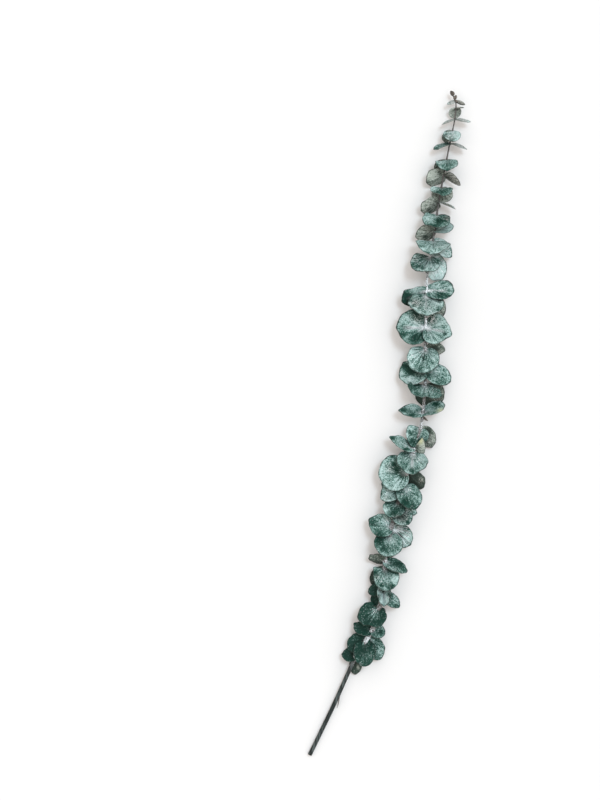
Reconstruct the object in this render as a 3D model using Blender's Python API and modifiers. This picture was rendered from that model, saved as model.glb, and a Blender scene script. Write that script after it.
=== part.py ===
"""One cut stem of eucalyptus lying on a surface, in metres, with +Z up and the tip bud towards +Y.

The stem bends from the cut end at -Y to the bud at +Y, and carries round leaves in opposite pairs that sit
on it without a stalk. It is all one grown piece, so it is one solid: every blade is a thin closed leaf whose
root is sunk in the stem. The origin is on the surface, under the middle of the branch.
"""

import math
from dataclasses import dataclass

import bmesh
import bpy
import numpy as np
from mathutils import Matrix, Vector

MM = 0.001
SEED = 20
MIDDLE_MM = Vector((3.1, 2.7, 0.0))
LEAF_COLOUR = (0.16, 0.26, 0.22)
LEAF_ROUGHNESS = 0.6
SHARP_ANGLE = math.radians(40.0)

# Where the stem runs, seen from above, from the cut end to the bud, with the height of its axis: x, y, z in mm.
STEM_ROUTE_MM = (
    (-70.5, -304.0, 2.0),
    (-48.0, -257.0, 3.5),
    (-29.6, -215.5, 7.5),
    (-18.5, -197.0, 9.5),
    (-10.2, -180.4, 10.5),
    (-2.3, -147.0, 11.5),
    (-0.9, -122.0, 12.0),
    (6.5, -86.0, 12.5),
    (17.6, -48.0, 13.0),
    (25.9, -19.4, 13.5),
    (32.4, 1.9, 13.5),
    (36.1, 39.0, 13.5),
    (36.5, 74.0, 13.5),
    (37.0, 107.3, 13.0),
    (38.4, 143.4, 12.5),
    (43.5, 173.0, 12.0),
    (49.0, 210.0, 11.0),
    (53.7, 235.0, 10.0),
    (59.2, 263.6, 9.0),
    (63.8, 285.8, 8.5),
    (65.0, 299.0, 8.5),
    (63.8, 304.5, 8.7),
    (60.8, 310.0, 9.0),
)
ROUTE_STEPS = 16
CUT_RADIUS_MM = 1.8
TIP_RADIUS_MM = 0.5
NODE_SWELLING = 1.3
NODE_HALF_LENGTH_MM = 1.8
STEM_STEP_MM = 16.0
STEM_BEVEL_RESOLUTION = 2
CAP_WELD_MM = 0.01

# The scales of the bud at the tip, and the small bud above one leaf: centre, radius and length in mm, heading.
BUD_SCALES = (
    ((60.5, 309.6, 9.0), 1.9, 4.6, 330.0),
    ((63.4, 306.0, 9.3), 1.5, 4.2, 40.0),
    ((64.8, 302.6, 9.0), 1.3, 4.0, 100.0),
    ((36.0, 8.6, 13.6), 0.9, 7.0, 128.0),
)
BUD_SIDES, BUD_RINGS = 8, 6

LEAF_THICKNESS_MM = 0.7
# A leaf's outline against a plain oval: two lobes and a notch at its root, and a short point at its tip.
# Each is a share of the half width, and lies at an angle from the tip, with a spread, in radians.
LOBE, LOBE_ANGLE, LOBE_SPREAD = 0.07, 2.45, 0.45
NOTCH, NOTCH_ANGLE, NOTCH_SPREAD = 0.10, math.pi, 0.22
POINT, POINT_ANGLE, POINT_SPREAD = 0.05, 0.0, 0.2
CREASE_SHARE = 0.1
WAVES_ROUND_EDGE = 3
STRAIGHT = 1e-6
BROAD_LEAF_MM = 20.5
BROAD_SECTORS, BROAD_RINGS = 12, (0.0, 0.58, 1.0)
NARROW_SECTORS, NARROW_RINGS = 10, (0.0, 1.0)
DISC_WELD = 0.01
FLOOR_HEIGHT_MM = 0.5 * LEAF_THICKNESS_MM
WAVE_SHARE = (0.015, 0.04)


@dataclass(frozen=True)
class Leaf:
    """How one leaf stands.

    heading: where it points seen from above, in degrees from the tip of the branch, clockwise.
    lift: how far it points up off the surface, in degrees; below zero it goes under the stem.
    face: how far its upper side turns from the tip of the branch up to the sky, in degrees.
    width, length: its size in mm.
    cup: how far its edges rise over its middle, as a share of its width.
    curl: how far its tip bends towards its upper side, in degrees.
    fold: how far each half closes about the midrib, in degrees.
    sway: how far its upper side turns to the right, in degrees.
    egg: how much wider it is near its root than near its tip.
    """

    heading: float
    lift: float
    face: float
    width: float
    length: float
    cup: float = 0.10
    curl: float = 8.0
    fold: float = 0.0
    sway: float = 0.0
    egg: float = 0.0


@dataclass(frozen=True)
class Pair:
    """Two opposite leaves at one node of the stem, whose place is y in mm."""

    y: float
    first: Leaf
    second: Leaf


# The pairs in order from the bud down, read off the branch one by one.
PAIRS = (
    Pair(303.0, Leaf(115, 10, -40, 4.5, 10), Leaf(245, 10, 50, 4.5, 9)),
    Pair(296.5, Leaf(97, 40, 10, 7, 9), Leaf(186, -25, 0, 12, 11)),
    Pair(286.0, Leaf(243, 12, 13, 8, 14), Leaf(105, 12, 20, 9, 15.5)),
    Pair(275.3, Leaf(189, 36, 60, 16.5, 15), Leaf(205, -28, 0, 15, 14)),
    Pair(263.5, Leaf(246, 10, 20, 12, 17), Leaf(104, 12, 13, 11, 17.5, curl=-15)),
    Pair(248.3, Leaf(183, 48, 60, 21, 18, egg=0.12), Leaf(200, -32, 0, 19, 16)),
    Pair(235.0, Leaf(243, 2, -50, 19, 18.5), Leaf(127, 5, -22, 14, 19)),
    Pair(222.5, Leaf(185, 58, 60, 20.5, 18), Leaf(172, -30, 0, 20, 17)),
    Pair(209.0, Leaf(242, 3, -42, 20, 19, egg=0.15), Leaf(108, 12, 4, 12, 17.5, curl=-12)),
    Pair(197.5, Leaf(183, 47, 60, 27, 23), Leaf(174, -40, 0, 22, 18)),
    Pair(182.3, Leaf(81, 10, 24, 12, 19, egg=-0.25), Leaf(249, 2, -50, 18, 19)),
    Pair(173.0, Leaf(182, 55, 60, 30, 25), Leaf(132, -8, 44, 18, 23.5, egg=-0.15)),
    Pair(159.0, Leaf(209, 39, 58, 29, 25.5, cup=0.06, sway=-8), Leaf(155, -20, 66, 22, 26)),
    Pair(127.0, Leaf(250, -2, 130, 22, 26), Leaf(92, 14, 66, 20, 27, egg=-0.3)),
    Pair(122.5, Leaf(186, 41, 60, 33, 28), Leaf(147, -20, -50, 22, 28)),
    Pair(92.5, Leaf(270, 8, 84, 34, 29, fold=12), Leaf(103, 18, 84, 31, 26, fold=22)),
    Pair(74.0, Leaf(192, 20, 60, 30, 27.5), Leaf(100, -22, -60, 14, 21)),
    Pair(54.5, Leaf(250, -6, 62, 26, 27), Leaf(118, 6, 66, 20, 27)),
    Pair(39.8, Leaf(194, 50, 60, 32, 24, sway=6), Leaf(155, -24, -50, 28, 26)),
    Pair(13.9, Leaf(272, 8, 45, 18, 22.5), Leaf(73, 14, 38, 20, 23)),
    Pair(0.0, Leaf(205, 13, 60, 20.5, 20.5, egg=0.35), Leaf(151, -16, -60, 18, 23)),
    Pair(-19.4, Leaf(292, 8, 42, 17, 25), Leaf(33, 40, -116, 16, 16.7, fold=40, sway=38, egg=0.45)),
    Pair(-23.0, Leaf(187, 40, 60, 29.5, 27), Leaf(182, -26, -30, 25, 24)),
    Pair(-41.0, Leaf(266, 8, 82, 33.5, 28.5), Leaf(137, -8, -50, 18, 22)),
    Pair(-53.5, Leaf(241, 2, 70, 18, 26), Leaf(153, 22, 60, 23, 27)),
    Pair(-69.4, Leaf(216, 34, 60, 21, 20), Leaf(122, -30, 60, 13, 23.5)),
    Pair(-75.5, Leaf(140, 22, 60, 20, 20), Leaf(345, -30, 40, 12, 13)),
    Pair(-91.5, Leaf(275, 8, 75, 22, 23), Leaf(134, -2, 98, 22, 25)),
    Pair(-99.0, Leaf(190, 36, 60, 27, 26), Leaf(180, -22, -30, 20, 25)),
    Pair(-123.0, Leaf(277, 0, -44, 13, 16), Leaf(119, 12, 46, 15, 23)),
    Pair(-129.0, Leaf(171, 30, 60, 24, 26), Leaf(205, -20, -40, 17, 23)),
    Pair(-146.7, Leaf(180, 26, 60, 18, 21, fold=45), Leaf(244, -6, 50, 14, 16)),
    Pair(-153.0, Leaf(130, 2, 60, 13, 21), Leaf(220, -20, 60, 13, 15)),
    Pair(-166.2, Leaf(222, 28, 60, 26, 27, sway=10), Leaf(207, -26, -50, 19, 20)),
    Pair(-187.0, Leaf(276, 2, 60, 15, 18), Leaf(110, 8, 60, 14, 13)),
    Pair(-194.3, Leaf(238, -8, 74, 19, 22), Leaf(149, -8, 74, 19, 24.5)),
    Pair(-198.0, Leaf(178, 30, 60, 17, 26.5), Leaf(190, -34, -30, 13, 15)),
    Pair(-211.5, Leaf(275, -8, 60, 14, 14), Leaf(182, -12, -60, 12, 19)),
)


def clear_scene():
    """Empties the scene."""
    for obj in list(bpy.data.objects):
        bpy.data.objects.remove(obj)


def make_collection(name):
    collection = bpy.data.collections.new(name)
    bpy.context.scene.collection.children.link(collection)
    return collection


def make_material(name, colour, roughness):
    """A Principled BSDF material for a thing that isn't metal."""
    material = bpy.data.materials.new(name)
    material.use_nodes = True
    shader = material.node_tree.nodes["Principled BSDF"]
    shader.inputs["Base Color"].default_value = (*colour, 1.0)
    shader.inputs["Roughness"].default_value = roughness
    shader.inputs["Metallic"].default_value = 0.0
    return material


def smooth_route(points, steps):
    """Points in even steps of the parameter on a smooth curve through the given ones."""
    given = np.array(points, float)
    ends = np.vstack([2 * given[0] - given[1], given, 2 * given[-1] - given[-2]])
    t = np.linspace(0.0, 1.0, steps, endpoint=False)[:, None]
    spans = []
    for a, b, c, d in zip(ends, ends[1:], ends[2:], ends[3:]):
        bend = (2 * a - 5 * b + 4 * c - d) * t**2 + (3 * b - a - 3 * c + d) * t**3
        spans.append(b + 0.5 * ((c - a) * t + bend))
    return np.vstack([*spans, given[-1:]])


ROUTE = smooth_route(STEM_ROUTE_MM, ROUTE_STEPS)


def stem_point(y):
    """The stem's axis at a place y, in mm."""
    return np.array([np.interp(y, ROUTE[:, 1], ROUTE[:, 0]), y, np.interp(y, ROUTE[:, 1], ROUTE[:, 2])])


def stem_radius(y):
    """The stem's radius in mm, which falls from the cut end to the tip and swells at each node."""
    share = (y - ROUTE[0, 1]) / (ROUTE[-1, 1] - ROUTE[0, 1])
    plain = CUT_RADIUS_MM + (TIP_RADIUS_MM - CUT_RADIUS_MM) * share
    off = min(abs(y - pair.y) for pair in PAIRS) / NODE_HALF_LENGTH_MM
    return plain * (1.0 + (NODE_SWELLING - 1.0) * math.exp(-(off**2)))


def leaf_outline(theta):
    """How far a leaf's edge is from its middle, against a plain oval, at an angle theta from its tip."""
    off_tip = np.abs(theta)
    lobes = LOBE * np.exp(-(((off_tip - LOBE_ANGLE) / LOBE_SPREAD) ** 2))
    notch = NOTCH * np.exp(-(((off_tip - NOTCH_ANGLE) / NOTCH_SPREAD) ** 2))
    point = POINT * np.exp(-(((off_tip - POINT_ANGLE) / POINT_SPREAD) ** 2))
    return 1.0 + lobes - notch + point


def leaf_sheet(leaf, rho, theta, wave, phase):
    """The leaf's middle surface before it is placed: x across, y along the midrib, z to its upper side.

    rho runs from 0 in its middle to 1 at its edge, and theta is the angle from its tip.
    """
    reach = rho * leaf_outline(theta)
    across = reach * np.sin(theta) * (1.0 - leaf.egg * np.cos(theta))
    y = 0.5 * leaf.length * (leaf_outline(math.pi) + reach * np.cos(theta))
    fold = math.radians(leaf.fold)
    x = 0.5 * leaf.width * across * math.cos(fold)
    z = 0.5 * leaf.width * (np.hypot(across, CREASE_SHARE) - CREASE_SHARE) * math.sin(fold)
    z = z + leaf.cup * leaf.width * across**2
    z = z + wave * leaf.width * rho**3 * np.sin(WAVES_ROUND_EDGE * theta + phase)
    bend = math.radians(leaf.curl) * y / leaf.length
    bend = np.where(np.abs(bend) < STRAIGHT, STRAIGHT, bend)
    along = y * np.sin(bend) / bend - z * np.sin(bend)
    height = y * (1.0 - np.cos(bend)) / bend + z * np.cos(bend)
    return np.stack([x, along, height], axis=-1)


def leaf_axes(leaf):
    """The directions across the leaf, along its midrib and out of its upper side."""
    heading, lift = math.radians(leaf.heading), math.radians(leaf.lift)
    face, sway = math.radians(leaf.face), math.radians(leaf.sway)
    along = Vector((math.sin(heading) * math.cos(lift), math.cos(heading) * math.cos(lift), math.sin(lift)))
    looks = Vector((math.sin(sway), math.cos(sway) * math.cos(face), math.cos(sway) * math.sin(face)))
    upper = (looks - along * looks.dot(along)).normalized()
    return np.array([along.cross(upper), along, upper])


def press_on_surface(points, upper):
    """Bends what would reach below the surface up onto it and out sideways, as the blade's weight does."""
    depth = np.maximum(FLOOR_HEIGHT_MM - points[:, 2], 0.0)
    sideways = np.array([upper[0], upper[1], 0.0])
    return points + depth[:, None] * (np.array([0.0, 0.0, 1.0]) + sideways)


def make_disc(name, sectors, rings):
    """A flat disc of triangles, turned from a line of points, that leaves are shaped from."""
    shape = bmesh.new()
    line = [shape.verts.new((ring, 0.0, 0.0)) for ring in rings]
    edges = [shape.edges.new(ends) for ends in zip(line, line[1:])]
    bmesh.ops.spin(
        shape,
        geom=line + edges,
        axis=(0.0, 0.0, 1.0),
        cent=(0.0, 0.0, 0.0),
        angle=math.tau,
        steps=sectors,
        use_merge=True,
    )
    bmesh.ops.remove_doubles(shape, verts=shape.verts, dist=DISC_WELD)
    bmesh.ops.triangulate(shape, faces=shape.faces)
    bmesh.ops.recalc_face_normals(shape, faces=shape.faces)
    mesh = bpy.data.meshes.new(name)
    shape.to_mesh(mesh)
    shape.free()
    return mesh


def make_leaf(name, leaf, root, draw, disc, collection):
    """One leaf as a thin solid whose root is in the stem at the point root, in mm."""
    mesh = disc.copy()
    mesh.name = name
    flat = np.zeros(len(mesh.vertices) * 3)
    mesh.vertices.foreach_get("co", flat)
    flat = flat.reshape(-1, 3)
    rho = np.hypot(flat[:, 0], flat[:, 1])
    theta = np.arctan2(flat[:, 1], flat[:, 0])
    wave, phase = draw.uniform(*WAVE_SHARE), draw.uniform(0.0, math.tau)
    axes = leaf_axes(leaf)
    points = root + leaf_sheet(leaf, rho, theta, wave, phase) @ axes
    points = press_on_surface(points, axes[2])
    mesh.vertices.foreach_set("co", (points * MM).ravel())
    mesh.update()
    obj = bpy.data.objects.new(name, mesh)
    collection.objects.link(obj)
    solid = obj.modifiers.new("thickness", "SOLIDIFY")
    solid.thickness = LEAF_THICKNESS_MM * MM
    solid.offset = 0.0
    return obj


def stem_places():
    """The places along the stem where its tube has a ring: each node, both its shoulders and even steps."""
    places = set(np.arange(ROUTE[0, 1], ROUTE[-1, 1], STEM_STEP_MM))
    for pair in PAIRS:
        places -= {y for y in places if abs(y - pair.y) < 2.0 * NODE_HALF_LENGTH_MM}
        places |= {pair.y - NODE_HALF_LENGTH_MM, pair.y, pair.y + NODE_HALF_LENGTH_MM}
    return sorted(places | {ROUTE[-1, 1]})


def make_stem(name, collection):
    """The stem as a tapering tube with flat ends."""
    curve = bpy.data.curves.new(name, "CURVE")
    curve.dimensions = "3D"
    curve.bevel_depth = MM
    curve.bevel_resolution = STEM_BEVEL_RESOLUTION
    curve.use_fill_caps = True
    places = stem_places()
    spline = curve.splines.new("POLY")
    spline.points.add(len(places) - 1)
    for point, y in zip(spline.points, places):
        point.co = (*(stem_point(y) * MM), 1.0)
        point.radius = stem_radius(y)
    tube = bpy.data.objects.new(name, curve)
    collection.objects.link(tube)
    mesh = bpy.data.meshes.new_from_object(tube.evaluated_get(bpy.context.evaluated_depsgraph_get()))
    welded = bmesh.new()
    welded.from_mesh(mesh)
    bmesh.ops.remove_doubles(welded, verts=welded.verts, dist=CAP_WELD_MM * MM)
    welded.to_mesh(mesh)
    welded.free()
    place = tube.matrix_world.copy()
    bpy.data.objects.remove(tube)
    stem = bpy.data.objects.new(name, mesh)
    stem.matrix_world = place
    collection.objects.link(stem)
    return stem


def make_bud(name, centre, radius, length, heading, collection):
    """One scale of a bud: a small ball stretched along its heading, in mm and degrees."""
    shape = bmesh.new()
    bmesh.ops.create_uvsphere(shape, u_segments=BUD_SIDES, v_segments=BUD_RINGS, radius=radius * MM)
    mesh = bpy.data.meshes.new(name)
    shape.to_mesh(mesh)
    shape.free()
    obj = bpy.data.objects.new(name, mesh)
    obj.location = Vector(centre) * MM
    obj.rotation_euler = (math.radians(90.0), 0.0, math.radians(180.0 - heading))
    obj.scale.z = 0.5 * length / radius
    collection.objects.link(obj)
    return obj


def join_all(stem, repeats):
    """Joins the stem and all that grows from it into one body."""
    joint = stem.modifiers.new("grown together", "BOOLEAN")
    joint.operation = "UNION"
    joint.operand_type = "COLLECTION"
    joint.collection = repeats
    bpy.context.view_layer.update()
    mesh = bpy.data.meshes.new_from_object(stem.evaluated_get(bpy.context.evaluated_depsgraph_get()))
    stem.modifiers.clear()
    stem.data = mesh
    for obj in list(repeats.objects):
        bpy.data.objects.remove(obj)
    bpy.data.collections.remove(repeats)


def keep_outer_skin(mesh):
    """Fills hollows that are sealed off between leaves, by keeping only the largest closed skin."""
    shape = bmesh.new()
    shape.from_mesh(mesh)
    left = set(shape.verts)
    skins = []
    while left:
        skin, edge_of_skin = set(), [left.pop()]
        while edge_of_skin:
            vert = edge_of_skin.pop()
            skin.add(vert)
            near = {edge.other_vert(vert) for edge in vert.link_edges} & left
            left -= near
            edge_of_skin += near
        skins.append(skin)
    outer = max(skins, key=len)
    bmesh.ops.delete(shape, geom=[vert for vert in shape.verts if vert not in outer], context="VERTS")
    shape.to_mesh(mesh)
    shape.free()


def main():
    clear_scene()
    branch = make_collection("eucalyptus_branch")
    repeats = make_collection("grown_from_the_stem")
    stem = make_stem("leafy_stem", branch)
    broad = make_disc("broad_leaf_disc", BROAD_SECTORS, BROAD_RINGS)
    narrow = make_disc("narrow_leaf_disc", NARROW_SECTORS, NARROW_RINGS)
    draw = np.random.default_rng(SEED)
    for number, pair in enumerate(PAIRS, 1):
        for side, leaf in (("a", pair.first), ("b", pair.second)):
            disc = broad if leaf.width > BROAD_LEAF_MM else narrow
            make_leaf(f"leaf_{number}_{side}", leaf, stem_point(pair.y), draw, disc, repeats)
    for number, scale in enumerate(BUD_SCALES, 1):
        make_bud(f"bud_scale_{number}", *scale, repeats)
    join_all(stem, repeats)
    keep_outer_skin(stem.data)
    stem.data.transform(Matrix.Translation(-MIDDLE_MM * MM))
    stem.data.materials.append(make_material("eucalyptus_leaf", LEAF_COLOUR, LEAF_ROUGHNESS))
    stem.data.polygons.foreach_set("use_smooth", [True] * len(stem.data.polygons))
    stem.data.set_sharp_from_angle(angle=SHARP_ANGLE)


main()
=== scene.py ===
"""The looks of one cut eucalyptus branch on a pale surface, in metres, with +Z up and the tip bud towards +Y.

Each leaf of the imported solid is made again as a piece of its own, on a finer grid that fans out from its root, with
a crease along each main vein and a crinkled edge. Three of them stand or measure a little differently, some have
corners on their outline, and the pair that the stem passes over dips below it. The stem, its buds and a sliver of
loose bark are pieces too. All sizes in the classes are in millimetres unless they say otherwise.
"""

from __future__ import annotations

import logging
import math
from dataclasses import dataclass, field
from enum import Enum
from typing import Iterator

import bmesh
import bpy
import numpy as np
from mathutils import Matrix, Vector
from mathutils.bvhtree import BVHTree

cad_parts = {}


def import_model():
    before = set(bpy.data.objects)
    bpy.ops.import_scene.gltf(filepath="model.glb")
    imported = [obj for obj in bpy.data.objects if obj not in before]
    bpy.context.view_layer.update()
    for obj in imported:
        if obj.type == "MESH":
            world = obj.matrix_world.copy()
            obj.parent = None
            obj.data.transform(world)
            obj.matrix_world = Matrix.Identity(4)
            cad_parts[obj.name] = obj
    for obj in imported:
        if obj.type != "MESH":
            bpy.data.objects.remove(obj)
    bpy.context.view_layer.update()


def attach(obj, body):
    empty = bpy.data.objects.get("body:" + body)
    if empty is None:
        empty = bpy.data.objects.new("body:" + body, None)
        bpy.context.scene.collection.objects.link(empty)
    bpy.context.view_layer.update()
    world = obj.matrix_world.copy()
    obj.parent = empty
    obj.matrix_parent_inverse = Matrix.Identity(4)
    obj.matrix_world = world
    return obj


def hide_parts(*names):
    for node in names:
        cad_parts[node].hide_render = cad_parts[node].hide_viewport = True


LOG = logging.getLogger("eucalyptus_branch")
MM = 0.001
BODY = "root"
NODE = "leafy_stem"
FORM_SEED = 20
DETAIL_SEED = 7
MIDDLE = np.array([3.1, 2.7, 0.0])
UP = np.array([0.0, 0.0, 1.0])
STRAIGHT = 1e-6
GOLDEN_TURN = math.pi * (3.0 - math.sqrt(5.0))
Colour = tuple[float, float, float]
Point = tuple[float, float, float]
# The least and the greatest value of something.
Range = tuple[float, float]
# Where a smooth step begins, at 0, and where it ends, at 1.
Band = tuple[float, float]
Output = bpy.types.NodeSocket
Material = bpy.types.Material


class Tone(Enum):
    """The look of a leaf: how much of it the silvery bloom covers, how deep its green is, how dusky it is."""

    FROST = (1.12, 0.00, 0.00)
    SILVER = (0.80, 0.04, 0.00)
    TEAL = (0.58, 0.14, 0.00)
    SAGE = (0.58, 0.18, 0.10)
    GREEN = (0.43, 0.32, 0.00)
    DEEP = (0.34, 0.54, 0.00)
    NIGHT = (0.06, 0.92, 0.00)
    DUSKY = (0.90, 0.02, 0.90)

    @property
    def bloom(self) -> float:
        """How much of the leaf the bloom covers."""
        return self.value[0]


class Mark(Enum):
    """What a soft mark changes on a leaf: the bloom, depth and dusk of its tone, and how many specks it bears.
    Besides real changes of tone, DARK also paints shade and shadows from other leaves, PALE paints the lit sides of
    leaves, and DUSK paints some shade in dusky grey.
    """

    DARK = (-0.60, 0.65, 0.00, 0.00)
    PALE = (0.75, -0.50, 0.00, 0.25)
    DUSK = (0.00, 0.00, 0.80, 0.00)
    CREAM = (0.20, -0.30, -1.00, 0.00)
    SPECKS = (0.12, -0.15, 0.00, 0.90)


class Face(Enum):
    """The material slots of a leaf."""

    UPPER = 0
    UNDER = 1
    RIM = 2


@dataclass(frozen=True)
class Spot:
    """A soft mark on a leaf.

    mark: what it changes.
    towards: where its middle lies from the leaf's, seen from above, in degrees from the tip of the branch, clockwise.
    out: how far off it lies, as a share of the leaf's half size.
    size: how wide it is, as the same share.
    strength: how strong it is.
    """

    mark: Mark
    towards: float
    out: float
    size: float = 0.45
    strength: float = 1.0


@dataclass(frozen=True)
class Leaf:
    """How one leaf stands and looks.

    heading: where it points seen from above, in degrees from the tip of the branch, clockwise.
    lift: how far it points up off the surface, in degrees.
    face: how far its upper side turns from the tip of the branch up to the sky, in degrees.
    width, length: its size, in mm.
    tone: the look that most of it has.
    cup: how far its edges rise over its middle, as a share of its width.
    curl: how far its tip bends towards its upper side, in degrees.
    fold: how far each half closes about the midrib, in degrees.
    sway: how far its upper side turns to the right, in degrees.
    egg: how much wider it is near its root than near its tip.
    veins: how dark its veins are, or how pale where it is negative.
    pleats: how strongly it is creased along its veins.
    corners: where its edge stands out or back beyond its plain outline, seen from above in degrees from the tip of
        the branch, and how far, as a share of its half size.
    tucked: whether its lobe on the side of the tip of the branch passes below the stem.
    spots: its soft marks.
    """

    heading: float
    lift: float
    face: float
    width: float
    length: float
    tone: Tone
    cup: float = 0.10
    curl: float = 8.0
    fold: float = 0.0
    sway: float = 0.0
    egg: float = 0.0
    veins: float = 0.5
    pleats: float = 1.0
    corners: tuple[tuple[float, float], ...] = ()
    tucked: bool = False
    spots: tuple[Spot, ...] = ()


@dataclass(frozen=True)
class Pair:
    """Two opposite leaves at one node of the stem, whose place along Y is y, and how white the bloom is there."""

    y: float
    white: float
    first: Leaf
    second: Leaf


FROST, SILVER, TEAL, SAGE = Tone.FROST, Tone.SILVER, Tone.TEAL, Tone.SAGE
GREEN, DEEP, NIGHT, DUSKY = Tone.GREEN, Tone.DEEP, Tone.NIGHT, Tone.DUSKY
DARK, PALE, DUSK, CREAM, SPECKS = Mark.DARK, Mark.PALE, Mark.DUSK, Mark.CREAM, Mark.SPECKS
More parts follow.
